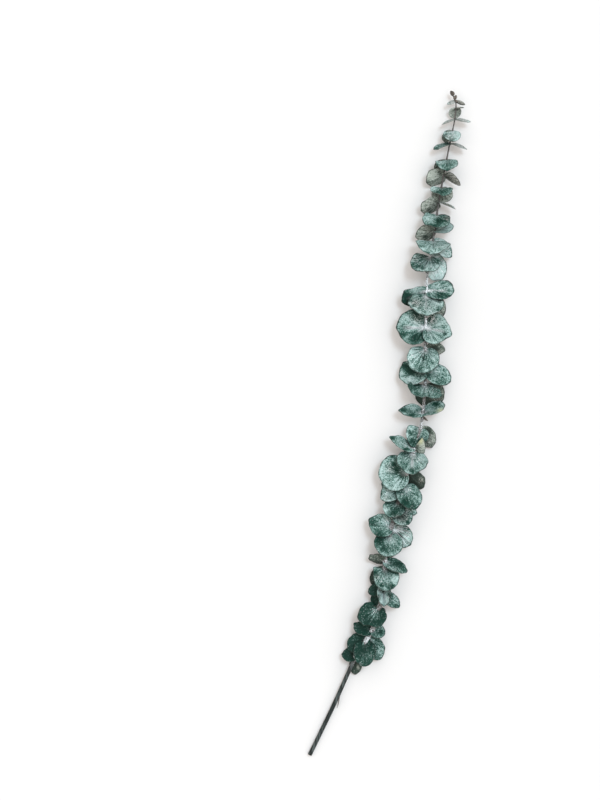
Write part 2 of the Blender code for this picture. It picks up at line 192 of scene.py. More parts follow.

# The pairs in order from the bud down. Besides changes of tone, their DARK, PALE and DUSK spots paint shade, shadows
# from other leaves and the lit sides of leaves.
PAIRS: tuple[Pair, ...] = (
    Pair(303.0, 0.0, Leaf(115, 10, -40, 4.5, 10, DUSKY), Leaf(245, 10, 50, 4.5, 9, DUSKY)),
    Pair(296.5, 0.0, Leaf(97, 40, 10, 7, 9, DUSKY), Leaf(186, -25, 0, 12, 11, FROST, veins=0.9)),
    Pair(286.0, 0.0, Leaf(243, 12, 13, 8, 14, DUSKY), Leaf(105, 12, 20, 9, 15.5, DUSKY)),
    Pair(
        275.3, 0.1,
        Leaf(
            189, 36, 60, 16.5, 15, SILVER, veins=-0.5, spots=(
                Spot(DARK, 270, 0.75, 0.35, 1.3), Spot(DARK, 190, 0.8, 0.4, 1.2), Spot(PALE, 60, 0.55, 0.45, 0.7),
                Spot(DUSK, 230, 0.5, 0.5, 0.7), Spot(SPECKS, 20, 0.3, 0.5, 0.8),
            ),
        ),
        Leaf(205, -28, 0, 15, 14, SAGE),
    ),
    Pair(
        263.5, 0.1,
        Leaf(246, 10, 20, 12, 17, SAGE, spots=(Spot(DARK, 225, 0.9, 0.4, 0.8),)),
        Leaf(104, 12, 13, 11, 17.5, DUSKY, curl=-15),
    ),
    Pair(
        248.3, 0.1,
        Leaf(
            183, 48, 60, 21, 18, TEAL, egg=0.12, corners=((180, 0.1), (262, 0.08), (8, -0.2)), spots=(
                Spot(PALE, 315, 0.75, 0.35, 0.6), Spot(DARK, 180, 0.95, 0.4), Spot(DARK, 270, 0.95, 0.3, 0.6),
                Spot(DARK, 60, 0.2, 0.5, 0.5), Spot(PALE, 95, 0.95, 0.3, 0.7),
            ),
        ),
        Leaf(200, -32, 0, 19, 16, SAGE),
    ),
    Pair(
        235.0, 0.1,
        Leaf(
            243, 2, -50, 19, 18.5, SILVER, spots=(
                Spot(PALE, 290, 0.4, 0.4, 0.7), Spot(DARK, 235, 1, 0.25, 0.9), Spot(DARK, 35, 0.6, 0.25, 0.7),
            ),
        ),
        Leaf(127, 5, -22, 14, 19, DUSKY, veins=1.3, pleats=2),
    ),
    Pair(
        222.5, 0.1,
        Leaf(185, 58, 60, 20.5, 18, GREEN, spots=(Spot(PALE, 305, 0.95, 0.5, 1.1), Spot(DARK, 190, 0.3, 0.6, 0.6))),
        Leaf(
            172, -30, 0, 20, 17, FROST, veins=1.2, spots=(
                Spot(DARK, 245, 0.8, 0.3, 1.2), Spot(PALE, 75, 0.8, 0.25, 0.6),
            ),
        ),
    ),
    Pair(
        209.0, 0.1,
        Leaf(
            242, 3, -42, 20, 19, SILVER, egg=0.15, veins=1.1, corners=((325, -0.14),), spots=(
                Spot(PALE, 15, 0.25, 0.4, 0.8), Spot(DARK, 190, 0.6, 0.3),
            ),
        ),
        Leaf(108, 12, 4, 12, 17.5, DUSKY, curl=-12),
    ),
    Pair(
        197.5, 0.2,
        Leaf(
            183, 47, 60, 27, 23, GREEN, corners=((85, -0.12),), spots=(
                Spot(PALE, 290, 0.55, 0.4, 0.9), Spot(DARK, 110, 0.3, 0.3, 1.1), Spot(DARK, 190, 0.95, 0.4, 0.8),
                Spot(DUSK, 80, 0.85, 0.35, 1.6),
            ),
        ),
        Leaf(174, -40, 0, 22, 18, DEEP),
    ),
    Pair(
        182.3, 0.2,
        Leaf(81, 10, 44, 14, 19, FROST, egg=-0.25, spots=(Spot(PALE, 90, 0.3, 0.6),)),
        Leaf(
            249, 2, -50, 18, 19, SILVER, veins=1.1, pleats=2, spots=(
                Spot(PALE, 65, 0.5, 0.35, 0.8), Spot(DARK, 175, 0.4, 0.3, 1.1),
            ),
        ),
    ),
    Pair(
        173.0, 0.3,
        Leaf(
            182, 55, 60, 30, 25, SILVER, corners=((310, 0.14), (262, 0.13), (235, 0.08), (12, -0.20), (75, 0.06)),
            spots=(
                Spot(DARK, 280, 0.85, 0.35, 0.8), Spot(SPECKS, 60, 0.4, 0.35), Spot(DARK, 205, 0.85, 0.3, 0.9),
            ),
        ),
        Leaf(
            132, -8, 44, 18, 23.5, SILVER, egg=-0.15, veins=-0.7, spots=(
                Spot(PALE, 200, 0.6, 0.4, 0.8), Spot(DUSK, 215, 0.75, 0.3, 0.6), Spot(DARK, 100, 0.8, 0.3, 0.9),
            ),
        ),
    ),
    Pair(
        159.0, 0.7,
        Leaf(
            209, 39, 58, 29, 25.5, TEAL, cup=0.06, sway=-8, veins=0.9, pleats=2, corners=((222, 0.12), (85, -0.06)),
            spots=(
                Spot(DUSK, 300, 0.8, 0.3, 0.9), Spot(DARK, 240, 0.75, 0.4, 0.6), Spot(DARK, 205, 0.6, 0.15, 0.9),
                Spot(SPECKS, 30, 0.45, 0.3, 1.3), Spot(SPECKS, 130, 0.85, 0.3, 1.3), Spot(SPECKS, 260, 0.5, 0.4, 0.5),
                Spot(PALE, 150, 0.35, 0.35, 0.8),
            ),
        ),
        Leaf(
            155, -20, 66, 22, 26, FROST, veins=-0.9, spots=(
                Spot(DARK, 45, 0.65, 0.25, 1.1), Spot(PALE, 130, 0.8, 0.3, 0.9),
            ),
        ),
    ),
    Pair(
        127.0, 1.0,
        Leaf(
            250, -2, 130, 22, 26, GREEN, corners=((355, -0.16), (303, 0.12)), spots=(
                Spot(PALE, 10, 0.6, 0.4), Spot(DARK, 280, 0.75, 0.35, 1.2), Spot(DARK, 225, 0.8, 0.35, 1.2),
            ),
        ),
        Leaf(
            92, 14, 66, 20, 27, GREEN, egg=-0.3, veins=0.9, spots=(
                Spot(PALE, 330, 0.4, 0.3, 1.1), Spot(SPECKS, 250, 0.5, 0.3, 1.3), Spot(DARK, 170, 0.5, 0.35, 0.9),
                Spot(PALE, 65, 0.75, 0.25, 0.6), Spot(DARK, 140, 0.95, 0.2, 0.8),
            ),
        ),
    ),
    Pair(
        122.5, 0.8,
        Leaf(
            186, 41, 60, 33, 28, SAGE, corners=((120, 0.07),), spots=(
                Spot(SPECKS, 335, 0.1, 0.2, 1.1), Spot(SPECKS, 165, 0.5, 0.35, 1.3), Spot(DUSK, 285, 0.6, 0.4),
                Spot(PALE, 55, 0.65, 0.3, 0.8), Spot(DARK, 125, 0.8, 0.1, 1.4), Spot(DARK, 300, 1.05, 0.2, 0.8),
            ),
        ),
        Leaf(147, -20, -50, 22, 28, TEAL),
    ),
    Pair(
        92.5, 1.0,
        Leaf(
            270, 8, 84, 34, 29, GREEN, fold=12, tucked=True, spots=(
                Spot(DARK, 20, 0.9, 0.25), Spot(DUSK, 35, 0.75, 0.4, 1.1), Spot(PALE, 330, 0.55, 0.25, 0.6),
                Spot(PALE, 75, 0.3, 0.25, 0.9), Spot(DARK, 160, 0.7, 0.3, 1.2), Spot(DARK, 235, 0.7, 0.2, 0.9),
                Spot(DARK, 125, 0.9, 0.2, 0.9),
            ),
        ),
        Leaf(
            103, 18, 84, 31, 26, TEAL, fold=22, veins=0.6, pleats=1.3, corners=((55, -0.1), (118, 0.1)), tucked=True,
            spots=(
                Spot(DUSK, 328, 0.75, 0.35, 1.6), Spot(DARK, 318, 0.9, 0.18, 1.8), Spot(PALE, 25, 0.4, 0.2, 0.9),
                Spot(PALE, 210, 0.45, 0.35, 0.3), Spot(DARK, 125, 0.6, 0.1, 1.6), Spot(SPECKS, 240, 0.5, 0.2, 0.8),
            ),
        ),
    ),
    Pair(
        74.0, 0.65,
        Leaf(
            192, 20, 60, 30, 27.5, TEAL, veins=0.7, pleats=1.6, spots=(
                Spot(PALE, 310, 0.8, 0.3, 0.9), Spot(SPECKS, 305, 0.6, 0.45, 1.2), Spot(DARK, 20, 0.15, 0.2, 1.1),
                Spot(DARK, 195, 0.7, 0.3, 0.6), Spot(PALE, 80, 0.6, 0.2, 0.6),
            ),
        ),
        Leaf(100, -22, -60, 14, 21, DEEP, spots=(Spot(DARK, 60, 0.1, 0.35), Spot(PALE, 130, 0.8, 0.3, 0.8))),
    ),
    Pair(
        54.5, 0.3,
        Leaf(
            250, -6, 62, 26, 27, SAGE, corners=((318, 0.08), (232, -0.07)), spots=(
                Spot(DARK, 310, 0.75, 0.3, 1.2), Spot(DARK, 305, 0.15, 0.3, 1.5), Spot(PALE, 195, 0.65, 0.35),
                Spot(PALE, 265, 0.9, 0.2, 0.7),
            ),
        ),
        Leaf(
            118, 6, 66, 20, 27, TEAL, corners=((160, 0.08),), spots=(
                Spot(SPECKS, 330, 0.6, 0.35, 1.3), Spot(PALE, 350, 0.5, 0.3, 0.6), Spot(DARK, 170, 0.75, 0.4, 0.6),
                Spot(DARK, 245, 0.7, 0.25, 0.5),
            ),
        ),
    ),
    Pair(
        39.8, 0.7,
        Leaf(
            194, 50, 60, 32, 24, DEEP, sway=6, corners=((45, -0.22), (122, 0.14), (170, -0.24), (225, -0.10)), spots=(
                Spot(DARK, 295, 0.9, 0.3, 0.5), Spot(PALE, 200, 0.05, 0.35, 0.5), Spot(SPECKS, 90, 0.4, 0.5, 0.6),
            ),
        ),
        Leaf(155, -24, -50, 28, 26, DEEP, spots=(Spot(DARK, 225, 0.9, 0.5, 1.7), Spot(DUSK, 120, 0.5, 0.3, 1.2))),
    ),
    Pair(
        13.9, 0.6,
        Leaf(
            272, 8, 45, 18, 22.5, TEAL, corners=((275, 0.12), (190, -0.26)), spots=(
                Spot(DARK, 275, 0.65, 0.35, 0.9), Spot(PALE, 30, 0.35, 0.3, 0.7), Spot(DARK, 180, 0.7, 0.4, 0.9),
            ),
        ),
        Leaf(
            73, 14, 38, 20, 23, TEAL, spots=(
                Spot(DARK, 20, 0.6, 0.3, 1.2), Spot(PALE, 245, 0.4, 0.35, 0.6), Spot(CREAM, 118, 0.75, 0.35, 0.9),
                Spot(DARK, 180, 0.95, 0.25, 1.2),
            ),
        ),
    ),
    Pair(
        0.0, 0.5,
        Leaf(
            205, 3, 60, 20.5, 20.5, GREEN, egg=0.35, corners=((318, 0.08), (355, -0.1)), spots=(
                Spot(PALE, 325, 0.9, 0.2, 1.1), Spot(SPECKS, 325, 0.9, 0.2, 0.9), Spot(DARK, 295, 0.7, 0.2, 0.8),
                Spot(PALE, 275, 1.05, 0.2), Spot(DARK, 225, 0.65, 0.25, 0.9),
            ),
        ),
        Leaf(151, -16, -60, 18, 23, GREEN, spots=(Spot(DARK, 20, 0.55, 0.3, 1.3), Spot(SPECKS, 130, 0.5, 0.5, 0.9))),
    ),
    Pair(
        -19.4, 0.7,
        Leaf(
            292, 8, 42, 17, 25, TEAL, corners=((305, 0.14), (28, -0.24)), spots=(
                Spot(DARK, 310, 1, 0.25, 1.1), Spot(PALE, 325, 0.45, 0.25, 0.5), Spot(SPECKS, 105, 0.25, 0.3),
                Spot(DARK, 160, 0.7, 0.3, 1.1),
            ),
        ),
        Leaf(
            33, 40, -116, 16, 16.7, TEAL, fold=40, sway=38, egg=0.45, spots=(
                Spot(CREAM, 10, 0.65, 0.45), Spot(DARK, 245, 0.55, 0.35, 0.8), Spot(PALE, 95, 0.6, 0.25, 1.3),
            ),
        ),
    ),
    Pair(
        -23.0, 0.9,
        Leaf(
            187, 40, 60, 29.5, 27, TEAL, veins=0.9, spots=(
                Spot(SPECKS, 50, 0.45, 0.3, 1.1), Spot(PALE, 55, 0.7, 0.3, 0.8), Spot(DARK, 15, 0.15, 0.1, 1.2),
                Spot(DARK, 175, 0.7, 0.25), Spot(DARK, 235, 0.8, 0.2, 0.9),
            ),
        ),
        Leaf(182, -26, -30, 25, 24, DEEP),
    ),
    Pair(
        -41.0, 0.4,
        Leaf(
            266, 8, 82, 33.5, 28.5, TEAL, spots=(
                Spot(DARK, 5, 0.5, 0.15, 1.1), Spot(DARK, 55, 0.25, 0.2, 1.3), Spot(DARK, 105, 0.6, 0.2, 1.3),
                Spot(DUSK, 330, 0.3, 0.3, 0.9), Spot(DARK, 355, 0.95, 0.2, 0.8), Spot(PALE, 160, 0.7, 0.3, 0.6),
                Spot(PALE, 275, 0.7, 0.25, 0.4),
            ),
        ),
        Leaf(
            137, -8, -50, 18, 22, NIGHT, spots=(
                Spot(DARK, 315, 0.2, 0.35, 1.8), Spot(DUSK, 105, 0.6, 0.4), Spot(PALE, 95, 0.6, 0.3, 0.7),
            ),
        ),
    ),
    Pair(
        -53.5, 0.3,
        Leaf(
            241, 2, 70, 18, 26, TEAL, corners=((312, 0.36), (255, -0.12)), spots=(
                Spot(SPECKS, 225, 0.4, 0.35, 1.2), Spot(PALE, 235, 0.3, 0.3, 0.7), Spot(DARK, 255, 1, 0.2),
                Spot(DUSK, 215, 1, 0.45, 0.6),
            ),
        ),
        Leaf(
            153, 22, 60, 23, 27, GREEN, spots=(
                Spot(SPECKS, 355, 0.5, 0.25, 1.2), Spot(PALE, 350, 0.5, 0.3, 0.9), Spot(SPECKS, 280, 0.45, 0.2, 0.9),
                Spot(DARK, 215, 0.55, 0.3, 1.3), Spot(DARK, 165, 0.8, 0.25),
            ),
        ),
    ),
    Pair(
        -69.4, 0.3,
        Leaf(
            216, 34, 60, 21, 20, GREEN, spots=(
                Spot(PALE, 260, 0.8, 0.3, 0.9), Spot(DARK, 180, 0.55, 0.4, 0.8), Spot(DUSK, 165, 0.95, 0.4, 0.9),
            ),
        ),
        Leaf(122, -30, 60, 13, 23.5, SAGE),
    ),
    Pair(
        -75.5, 0.3,
        Leaf(
            140, 22, 60, 20, 20, SAGE, spots=(
                Spot(SPECKS, 30, 0.6, 0.35, 1.2), Spot(DUSK, 145, 0.15, 0.6, 1.1), Spot(DARK, 145, 0.95, 0.25, 0.8),
            ),
        ),
        Leaf(345, -30, 40, 12, 13, DEEP),
    ),
    Pair(
        -91.5, 0.4,
        Leaf(
            275, 8, 75, 22, 23, GREEN, corners=((302, 0.14), (245, -0.1)), spots=(
                Spot(DARK, 290, 0.7, 0.4, 0.8), Spot(PALE, 50, 0.6, 0.35), Spot(SPECKS, 75, 0.6, 0.4),
                Spot(DARK, 190, 0.8, 0.4, 0.9),
            ),
        ),
        Leaf(
            134, -2, 98, 22, 25, TEAL, veins=-1, pleats=3, spots=(
                Spot(DARK, 50, 0.7, 0.25), Spot(DUSK, 350, 0.5, 0.25, 0.9), Spot(PALE, 135, 0.5, 0.3, 1.2),
                Spot(DARK, 125, 0.05, 0.15),
            ),
        ),
    ),
    Pair(
        -99.0, 0.4,
        Leaf(
            190, 36, 60, 27, 26, GREEN, spots=(
                Spot(DARK, 295, 0.7, 0.3, 1.1), Spot(PALE, 30, 0.35, 0.35, 0.8), Spot(SPECKS, 20, 0.5, 0.3, 0.7),
                Spot(DARK, 225, 0.5, 0.25, 0.7),
            ),
        ),
        Leaf(180, -22, -30, 20, 25, DEEP),
    ),
    Pair(
        -123.0, 0.5,
        Leaf(277, 0, -44, 13, 16, DEEP, corners=((310, 0.2),)),
        Leaf(
            119, 12, 46, 15, 23, DEEP, corners=((122, 0.1),), spots=(
                Spot(PALE, 290, 0.9, 0.2, 0.8), Spot(DARK, 60, 0.5, 0.4, 0.6), Spot(SPECKS, 200, 0.4, 0.4, 0.6),
            ),
        ),
    ),
    Pair(
        -129.0, 0.6,
        Leaf(
            171, 30, 60, 24, 26, GREEN, corners=((312, 0.18),), spots=(
                Spot(PALE, 100, 0.65, 0.25, 1.2), Spot(PALE, 30, 0.1, 0.3, 0.5), Spot(SPECKS, 240, 0.3, 0.25, 1.2),
                Spot(DUSK, 275, 0.75, 0.25, 0.9), Spot(DARK, 295, 1, 0.25, 0.8), Spot(DARK, 150, 0.8, 0.25, 1.1),
                Spot(DARK, 215, 0.7, 0.15, 0.9),
            ),
        ),
        Leaf(205, -20, -40, 17, 23, NIGHT),
    ),
    Pair(
        -146.7, 0.9,
        Leaf(
            180, 26, 60, 18, 21, SILVER, fold=45, veins=-0.6, corners=((140, 0.12), (220, 0.08)), spots=(
                Spot(PALE, 180, 0.2, 0.4, 1.3), Spot(DARK, 262, 0.8, 0.25, 2), Spot(DARK, 85, 0.8, 0.25, 1.8),
                Spot(DARK, 190, 1, 0.2, 1.4), Spot(DARK, 330, 0.75, 0.3), Spot(SPECKS, 150, 0.3, 0.4),
            ),
        ),
        Leaf(244, -6, 50, 14, 16, NIGHT),
    ),
    Pair(
        -153.0, 0.6,
        Leaf(130, 2, 60, 13, 21, GREEN, spots=(Spot(SPECKS, 85, 0.5, 0.3, 1.2), Spot(DARK, 140, 0.95, 0.25, 0.8))),
        Leaf(220, -20, 60, 13, 15, NIGHT),
    ),
    Pair(
        -166.2, 0.4,
        Leaf(
            222, 28, 60, 26, 27, NIGHT, sway=10, corners=((198, -0.22), (262, 0.07)), spots=(
                Spot(PALE, 105, 0.25, 0.3, 0.8), Spot(SPECKS, 25, 0.35, 0.25, 0.9), Spot(DARK, 265, 0.9, 0.3, 0.6),
                Spot(DARK, 130, 0.9, 0.2, 0.8),
            ),
        ),
        Leaf(207, -26, -50, 19, 20, NIGHT),
    ),
    Pair(
        -187.0, 0.35,
        Leaf(276, 2, 60, 15, 18, NIGHT, corners=((308, 0.2),)),
        Leaf(110, 8, 60, 14, 13, GREEN, spots=(Spot(SPECKS, 305, 0.45, 0.35, 1.2), Spot(DARK, 105, 0.35, 0.35, 0.9))),
    ),
    Pair(
        -194.3, 0.7,
        Leaf(238, -8, 74, 19, 22, NIGHT),
        Leaf(149, -8, 74, 19, 24.5, DEEP, spots=(Spot(PALE, 350, 0.5, 0.2), Spot(PALE, 110, 0.6, 0.35, 0.5))),
    ),
    Pair(
        -198.0, 0.4,
        Leaf(185, 30, 60, 20.5, 26.5, NIGHT, spots=(Spot(PALE, 150, 0.3, 0.5, 0.35), Spot(DARK, 300, 0.7, 0.4, 0.5))),
        Leaf(190, -34, -30, 13, 15, NIGHT),
    ),
    Pair(
        -211.5, 0.6,
        Leaf(275, -8, 60, 14, 14, NIGHT),
        Leaf(182, -12, -60, 12, 19, NIGHT, spots=(Spot(PALE, 120, 0.45, 0.2, 1.2),)),
    ),
)  # fmt: skip


class Board:
    """A node tree that is being wired."""

    def __init__(self, tree: bpy.types.NodeTree) -> None:
        """Takes the tree to wire.

        Args:
            tree: the material's, world's or group's own node tree.
        """
        self.tree = tree

    def add(self, kind: str, values: dict | None = None, **settings: object) -> bpy.types.Node:
        """Adds one node.

        Args:
            kind: Blender's name of the node type.
            values: what each input gets, by name or number: a number, a colour, a vector or another node's output.
            settings: the node's own settings.

        Returns:
            The new node.
        """
        node = self.tree.nodes.new(kind)
        for name, setting in settings.items():
            setattr(node, name, setting)
        for name, value in (values or {}).items():
            self.feed(node.inputs[name], value)
        return node

    def feed(self, socket: bpy.types.NodeSocket, value: object) -> None:
        """Links an output to a socket, or sets the socket's own value.

        Args:
            socket: the input.
            value: an output, or a number, colour or vector.
        """
        if isinstance(value, Output):
            self.tree.links.new(value, socket)
        elif socket.type == "RGBA" and len(value) == 3:
            socket.default_value = (*value, 1.0)
        else:
            socket.default_value = value

    def dress(self, values: dict[str, object]) -> None:
        """Feeds the shader of a material, input by input."""
        for name, value in values.items():
            self.feed(self.tree.nodes["Principled BSDF"].inputs[name], value)

    def math(self, operation: str, first: object, second: object = 0.0) -> Output:
        """One sum of two numbers.

        Args:
            operation: Blender's name of the operation.
            first: the first number, or an output.
            second: the second number, or an output.

        Returns:
            The output that holds the result.
        """
        return self.add("ShaderNodeMath", {0: first, 1: second}, operation=operation).outputs[0]

    def plus(self, first: object, second: object) -> Output:
        """Two numbers added."""
        return self.math("ADD", first, second)

    def minus(self, first: object, second: object) -> Output:
        """The first number less the second."""
        return self.math("SUBTRACT", first, second)

    def times(self, first: object, second: object) -> Output:
        """Two numbers multiplied."""
        return self.math("MULTIPLY", first, second)

    def most(self, first: object, second: object = 0.0) -> Output:
        """The larger of two numbers."""
        return self.math("MAXIMUM", first, second)

    def scaled(self, value: object, gain: float, start: float) -> Output:
        """A number that is start where value is 0, and rises by gain with it."""
        return self.plus(self.times(value, gain), start)

    def centred(self, pattern: object, share: float) -> Output:
        """How far a pattern swings about its middle of a half, times share."""
        return self.times(self.minus(pattern, 0.5), share)

    def ramp(self, value: object, low: float, high: float) -> Output:
        """A smooth step.

        Args:
            value: the number that is stepped.
            low: where the step begins, at 0.
            high: where it ends, at 1. It may be under low, and the step then falls.

        Returns:
            The output that holds the result.
        """
        up = low < high
        node = self.add(
            "ShaderNodeMapRange",
            {
                "Value": value,
                "From Min": min(low, high),
                "From Max": max(low, high),
                "To Min": 0.0 if up else 1.0,
                "To Max": 1.0 if up else 0.0,
            },
            interpolation_type="SMOOTHSTEP",
        )
        return node.outputs["Result"]

    def mix(self, share: object, first: object, second: object) -> Output:
        """Mixes two colours.

        Args:
            share: how much of the second colour is taken.
            first: the first colour, or an output.
            second: the second colour, or an output.

        Returns:
            The output that holds the colour.
        """
        factor, colour_a, colour_b, colour_out = 0, 6, 7, 2
        values = {factor: share, colour_a: first, colour_b: second}
        return self.add("ShaderNodeMix", values, data_type="RGBA").outputs[colour_out]

    def blend(self, colour: object, *layers: tuple[object, object]) -> Output:
        """Lays colours over one another.

        Args:
            colour: the lowest colour.
            layers: the share and the colour of each one over it, from below.

        Returns:
            The output that holds the colour.
        """
        for share, over in layers:
            colour = self.mix(share, colour, over)
        return colour

    def between(self, share: object, low: float, high: float) -> Output:
        """A number that goes from low to high as share goes from 0 to 1."""
        values = {"Value": share, "To Min": low, "To Max": high}
        return self.add("ShaderNodeMapRange", values).outputs["Result"]

    def bump(self, height: object, strength: float, distance: float) -> Output:
        """The normal of a surface that a height raises by up to a distance in metres."""
        values = {"Height": height, "Strength": strength, "Distance": distance}
        return self.add("ShaderNodeBump", values).outputs["Normal"]

    def where(self) -> Output:
        """Where each point lies in its piece's own frame."""
        return self.add("ShaderNodeTexCoord").outputs["Object"]

    def drawn_out(self, place: Output, shares: Point) -> Output:
        """Coordinates in which a pattern is drawn out along each axis whose share is under 1."""
        return self.add("ShaderNodeVectorMath", {0: place, 1: shares}, operation="MULTIPLY").outputs["Vector"]

    def noise(self, place: object, scale: float, detail: float = 3.0, rough: float = 0.6) -> Output:
        """A noise pattern.

        Args:
            place: the coordinates that it is read at.
            scale: how many of its cells lie in a metre.
            detail: how many finer octaves it has.
            rough: how strong they are.

        Returns:
            The output that holds its value.
        """
        values = {"Vector": place, "Scale": scale, "Detail": detail, "Roughness": rough}
        return self.add("ShaderNodeTexNoise", values).outputs["Fac"]

    def attribute(self, name: str) -> tuple[Output, ...]:
        """The three numbers of a vector attribute.

        Args:
            name: the attribute's name.

        Returns:
            The outputs that hold its x, y and z.
        """
        read = self.add("ShaderNodeAttribute", attribute_name=name)
        parts = self.add("ShaderNodeSeparateXYZ", {0: read.outputs["Vector"]})
        return tuple(parts.outputs)


@dataclass(frozen=True)
class Socket:
    """One named socket of a node group."""

    name: str
    kind: str = "NodeSocketFloat"


PLACE = Socket("Place", "NodeSocketVector")


class Effect:
    """A node group that several materials share."""

    def __init__(self, name: str, inputs: tuple[Socket, ...], outputs: tuple[str, ...]) -> None:
        """Makes the group with its sockets.

        Args:
            name: the group's name.
            inputs: its input sockets.
            outputs: the names of its outputs, which are plain numbers.
        """
        self.tree = bpy.data.node_groups.new(name, "ShaderNodeTree")
        for socket in inputs:
            self.tree.interface.new_socket(name=socket.name, in_out="INPUT", socket_type=socket.kind)
        for output in outputs:
            self.tree.interface.new_socket(name=output, in_out="OUTPUT", socket_type="NodeSocketFloat")
        self.board = Board(self.tree)
        self.taken = self.board.add("NodeGroupInput").outputs
        self.given = self.board.add("NodeGroupOutput").inputs

    def give(self, name: str, value: Output) -> None:
        """Links a value to one of the group's outputs."""
        self.board.feed(self.given[name], value)

    def place(self, board: Board, values: dict) -> bpy.types.NodeOutputs:
        """Puts the group in a material.

        Args:
            board: the material's board.
            values: what each of the group's inputs gets.

        Returns:
            The outputs of the group's node there.
        """
        return board.add("ShaderNodeGroup", node_tree=self.tree, values=values).outputs


@dataclass(frozen=True)
class WaxyBloom:
    """The silvery wax on a young shoot: patches that break up into fine specks.

    Each scale says how many cells of its pattern lie in a metre, and each share how much the pattern counts.
    """

    patch_scale: float = 110.0
    mottle_scale: float = 330.0
    grain_scale: float = 1050.0
    grain_rough: float = 0.5
    dot_scale: float = 820.0
    crowd_scale: float = 230.0
    amount_share: float = 0.90
    patch_share: float = 0.7
    mottle_share: float = 0.45
    grain_share: float = 3.2
    stipple_share: float = 1.5
    swing: Band = (0.0, 0.5)
    swing_gain: float = 0.5
    least_swing: float = 0.5
    dot: Band = (0.58, 0.26)
    cover: Band = (0.07, 0.93)
    dotted: Band = (0.50, 0.66)
    crowd: Band = (0.38, 0.52)
    rubbed: Band = (0.30, -0.35)

    def build(self) -> Effect:
        """Makes the group.

        Returns:
            The effect. Amount is how much of the surface it covers. Bloom is its mask, Specks are scattered dots,
            and Rubbed is where it is worn down to the deepest green.
        """
        made = Effect("waxy_bloom", (PLACE, Socket("Amount")), ("Bloom", "Specks", "Rubbed"))
        board, place, amount = made.board, made.taken["Place"], made.taken["Amount"]
        patch = board.noise(place, self.patch_scale, detail=2.0)
        mottle = board.noise(place, self.mottle_scale, detail=2.0)
        grain = board.noise(place, self.grain_scale, detail=2.0, rough=self.grain_rough)
        cells = board.add("ShaderNodeTexVoronoi", {"Vector": place, "Scale": self.dot_scale})
        cell = board.add("ShaderNodeSeparateColor", {0: cells.outputs["Color"]}).outputs
        dot = board.ramp(cells.outputs["Distance"], *self.dot)
        stipple = board.plus(board.times(board.minus(cell[0], 0.5), dot), 0.5)
        swing = board.scaled(board.ramp(amount, *self.swing), self.swing_gain, self.least_swing)
        level = board.times(amount, self.amount_share)
        for part, share in (
            (patch, self.patch_share),
            (mottle, self.mottle_share),
            (grain, self.grain_share),
            (stipple, self.stipple_share),
        ):
            level = board.plus(level, board.times(board.centred(part, share), swing))
        made.give("Bloom", board.ramp(level, *self.cover))
        dots = board.times(board.ramp(cell[1], *self.dotted), dot)
        crowds = board.noise(place, self.crowd_scale, detail=1.0)
        made.give("Specks", board.times(dots, board.ramp(crowds, *self.crowd)))
        made.give("Rubbed", board.ramp(level, *self.rubbed))
        return made


@dataclass(frozen=True)
class VeinFan:
    """The veins of a leaf, which fan out from its root, and the fine net between them.

    The counts are of veins on each half of a leaf. The thin numbers are half a vein's width at the leaf's edge, as a
    share of the gap between two main ones. Soft and core are where it has faded out and where it is whole, as shares
    of that.
    """

    wander_scale: float = 170.0
    wander: float = 0.10
    fine_count: float = 18.0
    fine_thin: float = 0.040
    fine_share: float = 0.8
    main_count: float = 6.0
    main_thin: float = 0.060
    main_gain: float = 0.6
    main_least: float = 0.4
    soft: float = 1.5
    core: float = 0.4
    break_scale: float = 330.0
    unbroken: Band = (0.40, 0.56)
    crest: Band = (0.04, 0.44)
    off_root: Band = (0.04, 0.16)
    off_edge: Band = (1.0, 0.86)
    net_scale: float = 1250.0
    net: Band = (0.13, 0.03)

    def spread(self, made: Effect, fan: Output, count: float, thin: float) -> tuple[Output, Output]:
        """Veins that are spread evenly over the fan.

        Args:
            made: the effect.
            fan: the place on the fan.
            count: how many there are.
            thin: half the width of each.

        Returns:
            How far off the nearest vein each place is, and the veins' mask.
        """
        board = made.board
        turn = board.math("FRACT", board.plus(board.times(fan, count), 0.5))
        off = board.math("ABSOLUTE", board.minus(turn, 0.5))
        wide = board.times(off, board.math("DIVIDE", made.taken["Reach"], count / self.main_count))
        return off, board.ramp(wide, thin * self.soft, thin * self.core)

    def build(self) -> Effect:
        """Makes the group.

        Returns:
            The effect. Fan is 0 on the midrib and 1 at the root's other side, and Reach is 0 at the root and 1
            at the edge. Crests is 1 half way between two main veins.
        """
        made = Effect("vein_fan", (PLACE, Socket("Fan"), Socket("Reach")), ("Veins", "Net", "Crests"))
        board, place, reach = made.board, made.taken["Place"], made.taken["Reach"]
        wander = board.centred(board.noise(place, self.wander_scale, detail=2.0), self.wander)
        bent = board.plus(made.taken["Fan"], board.times(wander, reach))
        _, fine = self.spread(made, bent, self.fine_count, self.fine_thin)
        off, main = self.spread(made, bent, self.main_count, self.main_thin)
        unbroken = board.ramp(board.noise(place, self.break_scale, detail=2.0), *self.unbroken)
        fine = board.times(board.times(fine, self.fine_share), unbroken)
        main = board.times(main, board.scaled(unbroken, self.main_gain, self.main_least))
        inner = board.times(board.ramp(reach, *self.off_root), board.ramp(reach, *self.off_edge))
        made.give("Veins", board.times(board.most(main, fine), inner))
        made.give("Crests", board.ramp(off, *self.crest))
        values = {"Vector": place, "Scale": self.net_scale}
        cells = board.add("ShaderNodeTexVoronoi", values, feature="DISTANCE_TO_EDGE")
        made.give("Net", board.ramp(cells.outputs["Distance"], *self.net))
        return made


